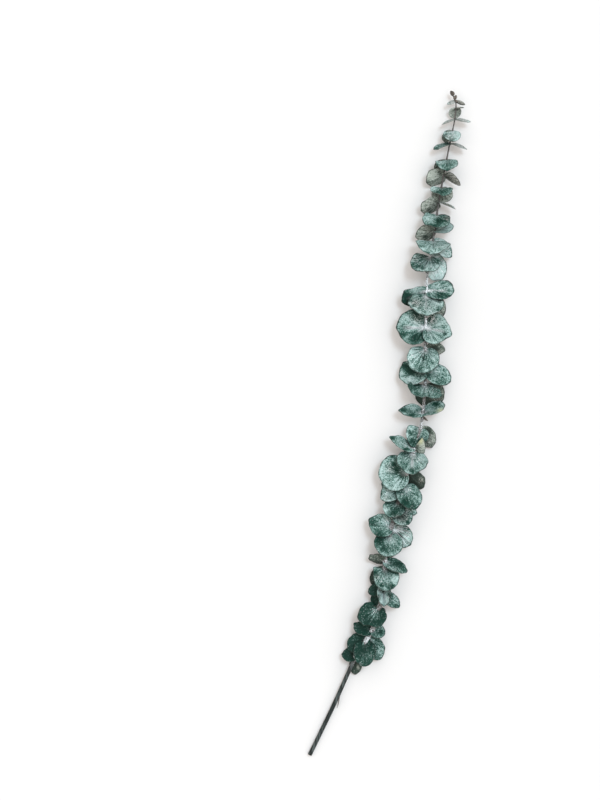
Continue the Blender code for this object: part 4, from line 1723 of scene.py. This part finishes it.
@dataclass
class Stem:
    """The stem: a slim tube on a smooth route, thicker at each node, with fine ridges, and cut across at its end.

    route, steps: the places that its axis passes through, and how many are set between two of them.
    cut_radius, tip_radius, taper: its radius at both ends, and how late it gets slimmer.
    swelling, swelling_half_length: how much thicker it is at a node, and how far along it that reaches.
    ring_step, sides: how far its rings lie apart, and how many sides they have.
    look: how far before and behind a place its direction is taken.
    ridges, twist: how many ridges it has and how high, as shares of its radius, and how they turn along it.
    collar, collar_offset, collar_half_length: the thin ring on each side of a node.
    bare_from, bare_fade: where the old bare bark begins, and how soft that change is.
    painted_shade_age, painted_shade_white: how far the painted shade under leaves above darkens its bark and takes
    its bloom away.
    bloom_below, bloom_above: how far the bloom of a node reaches away from the tip and towards it.
    cut_rings: how far out the rings of its cut end lie, as shares of its radius.
    """

    route: tuple[Point, ...] = (
        (-70.5, -304.0, 2.0), (-48.0, -257.0, 3.5), (-29.6, -215.5, 7.5), (-18.5, -197.0, 9.5),
        (-10.2, -180.4, 10.5), (-2.3, -147.0, 11.5), (-0.9, -122.0, 12.0), (6.5, -86.0, 12.5),
        (17.6, -48.0, 13.0), (25.9, -19.4, 13.5), (32.4, 1.9, 13.5), (36.1, 39.0, 13.5),
        (36.5, 74.0, 13.5), (37.0, 107.3, 13.0), (38.4, 143.4, 12.5), (43.5, 173.0, 12.0),
        (49.0, 210.0, 11.0), (53.7, 235.0, 10.0), (59.2, 263.6, 9.0), (63.8, 285.8, 8.5),
        (65.0, 299.0, 8.5), (63.8, 304.5, 8.7), (60.8, 310.0, 9.0),
    )  # fmt: skip
    steps: int = 16
    cut_radius: float = 1.95
    taper: float = 1.5
    tip_radius: float = 0.5
    swelling: float = 1.3
    swelling_half_length: float = 1.8
    ring_step: float = 1.1
    sides: int = 20
    look: float = 0.5
    ridges: tuple[tuple[int, float], ...] = ((3, 0.030), (5, 0.025), (8, 0.018))
    twist: float = 0.012
    collar: float = 0.10
    collar_offset: float = 0.9
    collar_half_length: float = 0.45
    bare_from: float = -212.0
    bare_fade: float = 7.5
    painted_shade_age: float = 0.6
    painted_shade_white: float = 0.7
    bloom_below: float = 9.0
    bloom_above: float = 17.0
    cut_rings: tuple[float, ...] = (0.92, 0.6, 0.3, 0.12)
    line: np.ndarray = field(init=False)

    def __post_init__(self) -> None:
        """Draws the smooth route through the given points."""
        given = np.array(self.route, float)
        ends = np.vstack([2 * given[0] - given[1], given, 2 * given[-1] - given[-2]])
        t = np.linspace(0.0, 1.0, self.steps, endpoint=False)[:, None]
        spans = []
        for a, b, c, d in zip(ends, ends[1:], ends[2:], ends[3:]):
            bend = (2 * a - 5 * b + 4 * c - d) * t**2 + (3 * b - a - 3 * c + d) * t**3
            spans.append(b + 0.5 * ((c - a) * t + bend))
        self.line = np.vstack([*spans, given[-1:]])

    def point(self, y: float) -> np.ndarray:
        """The axis at a place y, in mm."""
        line = self.line
        return np.array([np.interp(y, line[:, 1], line[:, 0]), y, np.interp(y, line[:, 1], line[:, 2])])

    def radius(self, y: float) -> float:
        """The radius at a place, in mm.

        Args:
            y: the place.

        Returns:
            The radius, which falls from the cut end to the tip and swells at each node.
        """
        share = (y - self.line[0, 1]) / (self.line[-1, 1] - self.line[0, 1])
        plain = self.cut_radius + (self.tip_radius - self.cut_radius) * share**self.taper
        off = min(abs(y - pair.y) for pair in PAIRS)
        swell = (self.swelling - 1.0) * bell(off, self.swelling_half_length)
        ring = self.collar * bell(off - self.collar_offset, self.collar_half_length)
        return plain * (1.0 + swell + ring)

    def whiteness(self, y: float) -> float:
        """How white the bloom is at a place y, which reaches further towards the tip than away from it."""
        return max(
            pair.white * bell(y - pair.y, self.bloom_above if y > pair.y else self.bloom_below) for pair in PAIRS
        )

    def age(self, y: float) -> float:
        """How old and bare the bark is at a place y, from 0 to 1."""
        return 1.0 / (1.0 + math.exp((y - self.bare_from) / self.bare_fade))

    def ring(self, y: float) -> np.ndarray:
        """One ring of the tube.

        Args:
            y: where it lies.

        Returns:
            Its places, in mm.
        """
        angles = np.linspace(0.0, math.tau, self.sides, endpoint=False)
        ahead = self.point(min(y + self.look, self.line[-1, 1])) - self.point(max(y - self.look, self.line[0, 1]))
        ahead = ahead / np.linalg.norm(ahead)
        side = np.cross(ahead, UP)
        side = side / np.linalg.norm(side)
        up = np.cross(side, ahead)
        turned = angles + self.twist * y
        uneven = 1.0 + sum(size * np.sin(count * turned + count * count) for count, size in self.ridges)
        reach = (self.radius(y) * uneven)[:, None]
        return self.point(y) + reach * (np.cos(angles)[:, None] * side + np.sin(angles)[:, None] * up)

    def band(self, first: int, second: int) -> list[tuple[int, ...]]:
        """The faces between two rings, given the number of each one's first place."""
        turned = [(k, (k + 1) % self.sides) for k in range(self.sides)]
        return [(first + n, first + k, second + k, second + n) for k, n in turned]

    def build(self, bark: Material, cut: Material, canopy: Canopy) -> None:
        """Makes the stem and hands it over.

        Args:
            bark: the material of its skin.
            cut: the material of its cut end.
            canopy: the leaves that cover it in places.
        """
        low, high = self.line[0, 1], self.line[-1, 1]
        ys = np.linspace(low, high, int((high - low) / self.ring_step))
        tube = np.vstack([self.ring(y) for y in ys])
        marks = np.vstack([np.tile([self.age(y), self.whiteness(y), 1.0], (self.sides, 1)) for y in ys])
        # painted shade: where leaves cover the stem, its bark is painted older and darker and its bloom fainter
        painted_shade = canopy.painted_shade(tube)
        marks[:, 0] = np.maximum(marks[:, 0], self.painted_shade_age * painted_shade)
        marks[:, 1] *= 1.0 - self.painted_shade_white * painted_shade
        skin = [face for k in range(len(ys) - 1) for face in self.band(k * self.sides, (k + 1) * self.sides)]
        skin.append(tuple(reversed(range(len(tube) - self.sides, len(tube)))))
        points, marks, end = [tube], [marks], []
        start, last, count = self.point(ys[0]), 0, len(tube)
        for share in self.cut_rings:
            points.append(start + share * (tube[: self.sides] - start))
            marks.append(np.tile([1.0, 0.0, share], (self.sides, 1)))
            end.extend(self.band(count, last))
            last, count = count, count + self.sides
        end.append(tuple(range(last, last + self.sides)))
        mesh = new_mesh("stem", np.vstack(points), skin + end, bark, cut)
        vector_attribute(mesh, "bark", np.vstack(marks))
        mesh.polygons.foreach_set("material_index", [0] * len(skin) + [1] * len(end))
        mesh.polygons.foreach_set("use_smooth", [True] * len(skin) + [False] * len(end))
        mesh.update()
        hand_over(bpy.data.objects.new("stem", mesh))


@dataclass
class Foliage:
    """All the leaves in their pairs.

    dust: how many specks a leaf has away from its marks.
    root_white, bloom_white: how white the root of a leaf without bloom is, and how that rises with the bloom.
    rim_marks, rim_from: what the edge changes in bloom, depth, dusk and specks, and from where on. It is set against
        the square of how far out a place is, and the middle of the leaf changes the other way.
    painted_shade_marks: what other leaves above change in the same four.
    least, most: the limits of the four.
    tuck_width, tuck_depth, tuck_slope, tuck_run: how wide and how deep below the stem's axis a tucked leaf passes,
        how steeply it rises beside it, and how far from its root it is down.
    full_to: how far out on its spokes a leaf keeps its whole thickness.
    """

    stem: Stem
    blade: Blade = field(default_factory=Blade)
    dust: float = 0.16
    root_white: float = 0.2
    bloom_white: float = 2.0
    rim_marks: tuple[float, ...] = (-0.08, 0.08, 0.0, 0.0)
    rim_from: float = 0.4
    # painted_shade_marks: what the painted shade under other leaves changes in the same four.
    painted_shade_marks: tuple[float, ...] = (-0.35, 0.45, 0.0, -0.5)
    least: tuple[float, ...] = (-0.3, 0.0, -1.0, 0.0)
    most: tuple[float, ...] = (1.2, 1.0, 1.0, 1.0)
    full_to: float = 0.5
    tuck_width: float = 1.0
    tuck_depth: float = 1.9
    tuck_slope: float = 0.7
    tuck_run: float = 2.5

    def leaves(self) -> Iterator[tuple[str, Pair, Leaf]]:
        """Goes through the leaves from the bud down.

        Returns:
            The name, the pair and the leaf of each.
        """
        for number, pair in enumerate(PAIRS, 1):
            yield f"leaf_{number:02d}_a", pair, pair.first
            yield f"leaf_{number:02d}_b", pair, pair.second

    def lay_out(self) -> list[np.ndarray]:
        """Finds where every leaf lies.

        Returns:
            The places of each leaf's grid, in mm.
        """
        form = np.random.default_rng(FORM_SEED)
        sheets = []
        for number, (_, pair, leaf) in enumerate(self.leaves()):
            wave = Wave(number, form.uniform(*self.blade.wave_share), form.uniform(0.0, math.tau))
            points = self.blade.points(leaf, self.stem.point(pair.y), wave)
            sheets.append(self.tuck(points, pair.y) if leaf.tucked else points)
        return sheets

    def tuck(self, points: np.ndarray, start: float) -> np.ndarray:
        """Lowers a leaf where the stem beyond its node passes over it.

        Args:
            points: the leaf's places, in mm.
            start: the node's place.

        Returns:
            The places, lowered.
        """
        axis = np.array([self.stem.point(y) for y in points[:, 1]])
        beside = np.maximum(np.abs(points[:, 0] - axis[:, 0]) - self.tuck_width, 0.0)
        limit = axis[:, 2] - self.tuck_depth + self.tuck_slope * beside
        share = np.clip((points[:, 1] - start) / self.tuck_run, 0.0, 1.0)
        lowered = points.copy()
        lowered[:, 2] -= share * np.maximum(points[:, 2] - limit, 0.0)
        return lowered

    def dress(self, leaf: Leaf, seen: np.ndarray, painted_shade: np.ndarray) -> tuple[np.ndarray, np.ndarray]:
        """The tone of a leaf and its further marks at each place of its grid.

        Args:
            leaf: the leaf.
            seen: its places as seen from above, from -1 to 1.
            painted_shade: how far other leaves cover each place, which paints shade there.

        Returns:
            The bloom, depth and dusk, and the veins, dust and painted shade, one row for each place.
        """
        out = self.blade.out
        marks = np.tile([*leaf.tone.value, self.dust], (len(out), 1))
        marks += (out**2 - self.rim_from)[:, None] * np.array(self.rim_marks)
        # painted shade under other leaves: less bloom, deeper green, fewer specks
        marks += painted_shade[:, None] * np.array(self.painted_shade_marks)
        for spot in leaf.spots:
            towards = math.radians(spot.towards)
            off = seen - spot.out * np.array([math.sin(towards), math.cos(towards)])
            weight = spot.strength * np.exp(-(off**2).sum(axis=1) / spot.size**2)
            marks += weight[:, None] * np.array(spot.mark.value)
        marks = np.clip(marks, self.least, self.most)
        return marks[:, :3], np.stack([np.full_like(out, leaf.veins), marks[:, 3], painted_shade], axis=-1)

    def thicken(self, obj: bpy.types.Object) -> None:
        """Gives a leaf its thickness, which is less at its edge.

        Args:
            obj: the leaf's piece, which is a thin sheet so far.
        """
        body = obj.vertex_groups.new(name="body")
        for share in sorted(set(self.blade.out.tolist())):
            inside = np.flatnonzero(self.blade.out == share).tolist()
            body.add(inside, 1.0 - max(0.0, share - self.full_to) / (1.0 - self.full_to), "REPLACE")
        solid = obj.modifiers.new("thickness", "SOLIDIFY")
        solid.thickness = self.blade.thickness * MM
        solid.offset = 0.0
        solid.material_offset = Face.UNDER.value
        solid.material_offset_rim = Face.RIM.value
        solid.vertex_group = body.name
        solid.thickness_vertex_group = self.blade.edge_share

    def build(self, sheets: list[np.ndarray], canopy: Canopy, finishes: tuple[Material, ...]) -> None:
        """Makes every leaf and hands it over.

        Args:
            sheets: the places of each leaf's grid, in mm.
            canopy: all the leaves, which shelter one another.
            finishes: the materials of the upper sides, the undersides and the edges.
        """
        faces, out = self.blade.faces(), self.blade.out
        across = np.abs(self.blade.on_spokes(self.blade.turns)) / math.pi
        for (name, pair, leaf), points in zip(self.leaves(), sheets):
            mesh = new_mesh(name, points, faces, *finishes)
            white = pair.white * min(1.0, self.root_white + self.bloom_white * leaf.tone.bloom)
            tone, look = self.dress(leaf, self.blade.as_seen(points), canopy.painted_shade(points))
            vector_attribute(mesh, "blade", np.stack([across, out, np.full_like(out, white)], axis=-1))
            vector_attribute(mesh, "tone", tone)
            vector_attribute(mesh, "look", look)
            mesh.update()
            obj = bpy.data.objects.new(name, mesh)
            self.thicken(obj)
            hand_over(obj)


@dataclass
class Sliver:
    """A thin strip of bark that has come loose at its lower end and curls away from the stem.

    path, widths: the places that its middle passes through, and how wide it is at each.
    hollow: how far its edges lie below its middle, as a share of its width.
    steps, across: the places of its grid along and across it.
    smoothings: how often its path is smoothed.
    skin: how old and how white its bark is, and how far it is from the stem's axis.
    """

    path: tuple[Point, ...] = (
        (-43.4, -246.0, 5.0), (-43.2, -249.5, 5.3), (-43.6, -253.0, 5.2), (-44.2, -256.5, 4.7), (-45.0, -260.0, 3.8),
    )  # fmt: skip
    widths: tuple[float, ...] = (1.3, 1.2, 1.0, 0.8, 0.3)
    thickness: float = 0.3
    hollow: float = 0.35
    steps: int = 40
    across: int = 6
    smoothings: int = 8
    skin: Point = (0.3, 0.2, 1.0)

    def upper(self) -> np.ndarray:
        """The upper side of the strip.

        Returns:
            Its places, in mm, row by row from its upper end.
        """
        share = np.linspace(0.0, len(self.path) - 1.0, self.steps)
        known = np.arange(len(self.path))
        line = np.stack([np.interp(share, known, column) for column in np.array(self.path).T], axis=-1)
        for _ in range(self.smoothings):
            line[1:-1] = 0.25 * line[:-2] + 0.5 * line[1:-1] + 0.25 * line[2:]
        side = np.cross(np.gradient(line, axis=0), UP)
        side /= np.linalg.norm(side, axis=1)[:, None]
        over = np.linspace(-0.5, 0.5, self.across)
        width = np.interp(share, known, self.widths)[:, None, None]
        sheet = line[:, None] + width * over[None, :, None] * side[:, None]
        sheet[..., 2] -= self.hollow * width[..., 0] * (1.0 - (2.0 * over) ** 2)
        return sheet.reshape(-1, 3)

    def build(self, bark: Material) -> None:
        """Makes the strip and hands it over.

        Args:
            bark: the material of its skin.
        """
        sheet = self.upper()
        count, wide = len(sheet), self.across
        faces = []
        for k in range(self.steps - 1):
            row, following = k * wide, (k + 1) * wide
            for n in range(wide - 1):
                a, b = row + n, following + n
                faces.append((a, b, b + 1, a + 1))
                faces.append((count + a + 1, count + b + 1, count + b, count + a))
            for a, b in ((row, following), (following + wide - 1, row + wide - 1)):
                faces.append((count + a, count + b, b, a))
        for a, step in ((0, 1), (count - 1, -1)):
            for n in range(wide - 1):
                c = a + n * step
                faces.append((c, c + step, count + c + step, count + c))
        places = np.vstack([sheet, sheet - self.thickness * UP])
        mesh = new_mesh("bark_sliver", places, faces, bark)
        vector_attribute(mesh, "bark", np.tile(self.skin, (len(places), 1)))
        shape = bmesh.new()
        shape.from_mesh(mesh)
        bmesh.ops.recalc_face_normals(shape, faces=shape.faces)
        shape.to_mesh(mesh)
        shape.free()
        hand_over(bpy.data.objects.new("bark_sliver", mesh))


@dataclass(frozen=True)
class Scale:
    """One scale of a bud: its middle, radius, length and heading."""

    centre: Point
    radius: float
    length: float
    heading: float


@dataclass
class Bud:
    """A bud of a few pointed scales.

    sides, rings: the grid of each scale.
    slimming: how much slimmer a scale is at its point.
    ridges, ridge: how many ridges it has, and how high they are as a share of its radius.
    skin: how old and how white its bark is, and how far it is from the stem's axis.
    """

    name: str
    scales: tuple[Scale, ...]
    sides: int = 20
    rings: int = 14
    slimming: float = 0.45
    ridges: float = 5.0
    ridge: float = 0.06
    skin: Point = (0.7, 0.12, 1.0)

    def build(self, bark: Material) -> None:
        """Makes the bud and hands it over.

        Args:
            bark: the material of its skin.
        """
        shape = bmesh.new()
        for number, scale in enumerate(self.scales):
            heading = math.radians(scale.heading)
            ahead = np.array([math.sin(heading), math.cos(heading), 0.0])
            side = np.cross(ahead, UP)
            made = bmesh.ops.create_uvsphere(shape, u_segments=self.sides, v_segments=self.rings, radius=1.0)
            for vert in made["verts"]:
                x, y, z = vert.co
                slim = 1.0 - self.slimming * (0.5 * (z + 1.0)) ** 2
                slim *= 1.0 + self.ridge * math.sin(self.ridges * math.atan2(y, x) + number)
                place = np.array(scale.centre) - MIDDLE + ahead * z * 0.5 * scale.length
                place = place + (side * x + UP * y) * scale.radius * slim
                vert.co = Vector(place) * MM
        bmesh.ops.recalc_face_normals(shape, faces=shape.faces)
        mesh = bpy.data.meshes.new(self.name)
        shape.to_mesh(mesh)
        shape.free()
        vector_attribute(mesh, "bark", np.tile(self.skin, (len(mesh.vertices), 1)))
        finish_mesh(mesh, bark)
        hand_over(bpy.data.objects.new(self.name, mesh))


BUDS = (
    Bud(
        "tip_bud",
        (
            Scale((61.4, 310.2, 9.0), 2.2, 5.4, 325.0),
            Scale((64.2, 306.4, 9.3), 1.8, 4.6, 30.0),
            Scale((65.4, 302.8, 9.0), 1.5, 4.2, 100.0),
        ),
    ),
    Bud("axil_bud", (Scale((36.0, 8.6, 13.6), 1.15, 7.0, 128.0),)),
)


@dataclass
class Studio:
    """The pale surface, the soft light and the camera that looks straight down.

    view_middle, view_height, view_plane: the middle and the height of what the camera sees, and how high that lies.
    key_spread, key_heading, key_height: how wide the lamp looks and where it stands, in degrees.
    sky_heading, sky_height: where the sky is brightest, in degrees.
    """

    view_middle: tuple[float, float] = (-82.7, 23.2)
    view_height: float = 740.0
    view_plane: float = 13.0
    camera_distance: float = 2200.0
    surface_side: float = 40000.0
    sensor: float = 36.0
    clip_end: float = 100.0
    key_energy: float = 0.95
    key_spread: float = 16.0
    key_heading: float = 45.0
    key_height: float = 69.0
    key_colour: Colour = (0.850, 1.030, 1.170)
    sky_strength: float = 0.70
    sky_heading: float = 35.0
    sky_height: float = 58.0
    sky_bright: Colour = (1.800, 1.730, 1.670)
    sky_dim: Colour = (0.460, 0.400, 0.360)

    def build(self, finish: SurfaceFinish) -> None:
        """Makes them all.

        Args:
            finish: the surface's finish.
        """
        shape = bmesh.new()
        bmesh.ops.create_grid(shape, x_segments=1, y_segments=1, size=0.5 * self.surface_side * MM)
        mesh = bpy.data.meshes.new("pale_surface")
        shape.to_mesh(mesh)
        shape.free()
        mesh.materials.append(finish.build())
        surface = bpy.data.objects.new("pale_surface", mesh)
        bpy.context.scene.collection.objects.link(surface)
        self.light()
        self.camera()

    def light(self) -> None:
        """Makes a wide key light from the upper right and a soft sky that is brighter on that side."""
        lamp = bpy.data.lights.new("window", "SUN")
        lamp.energy = self.key_energy
        lamp.angle = math.radians(self.key_spread)
        lamp.color = self.key_colour
        key = bpy.data.objects.new("window", lamp)
        source = direction(self.key_heading, self.key_height)
        key.rotation_euler = source.to_track_quat("Z", "Y").to_euler()
        key.location = source
        bpy.context.scene.collection.objects.link(key)
        world = bpy.data.worlds.new("soft_fill")
        world.use_nodes = True
        board = Board(world.node_tree)
        ray = board.add("ShaderNodeTexCoord").outputs["Generated"]
        bright = direction(self.sky_heading, self.sky_height)
        facing = board.add("ShaderNodeVectorMath", {0: ray, 1: bright}, operation="DOT_PRODUCT").outputs["Value"]
        colour = board.mix(board.ramp(facing, -1.0, 1.0), self.sky_dim, self.sky_bright)
        background = world.node_tree.nodes["Background"]
        board.feed(background.inputs["Color"], colour)
        background.inputs["Strength"].default_value = self.sky_strength
        bpy.context.scene.world = world
        bpy.context.scene.view_settings.view_transform = "Standard"

    def camera(self) -> None:
        """Makes the camera, which looks straight down as the photograph does."""
        lens = bpy.data.cameras.new("camera")
        lens.sensor_width = self.sensor
        lens.lens = self.sensor * self.camera_distance / self.view_height
        lens.clip_end = self.clip_end
        eye = bpy.data.objects.new("camera", lens)
        eye.location = Vector((*self.view_middle, self.view_plane + self.camera_distance)) * MM
        bpy.context.scene.collection.objects.link(eye)
        bpy.context.scene.camera = eye


def main() -> None:
    """Builds the branch round its frame, piece by piece, then the studio."""
    logging.basicConfig(level=logging.INFO, format="%(name)s: %(message)s")
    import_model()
    effects = Effects()
    bark = STEM_BARK.build(effects, "bark")
    scales = BUD_BARK.build(effects, "bud_scales")
    stem = Stem()
    foliage = Foliage(stem)
    sheets = foliage.lay_out()
    canopy = Canopy(sheets, foliage.blade.faces())
    stem.build(bark, CutFinish().build(), canopy)
    Sliver().build(scales)
    foliage.build(sheets, canopy, (UPPER_SIDE.build(effects), UNDERSIDE.build(effects), RimFinish().build()))
    for bud in BUDS:
        bud.build(scales)
    Studio().build(SurfaceFinish())
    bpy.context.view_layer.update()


if __name__ == "__main__":
    main()
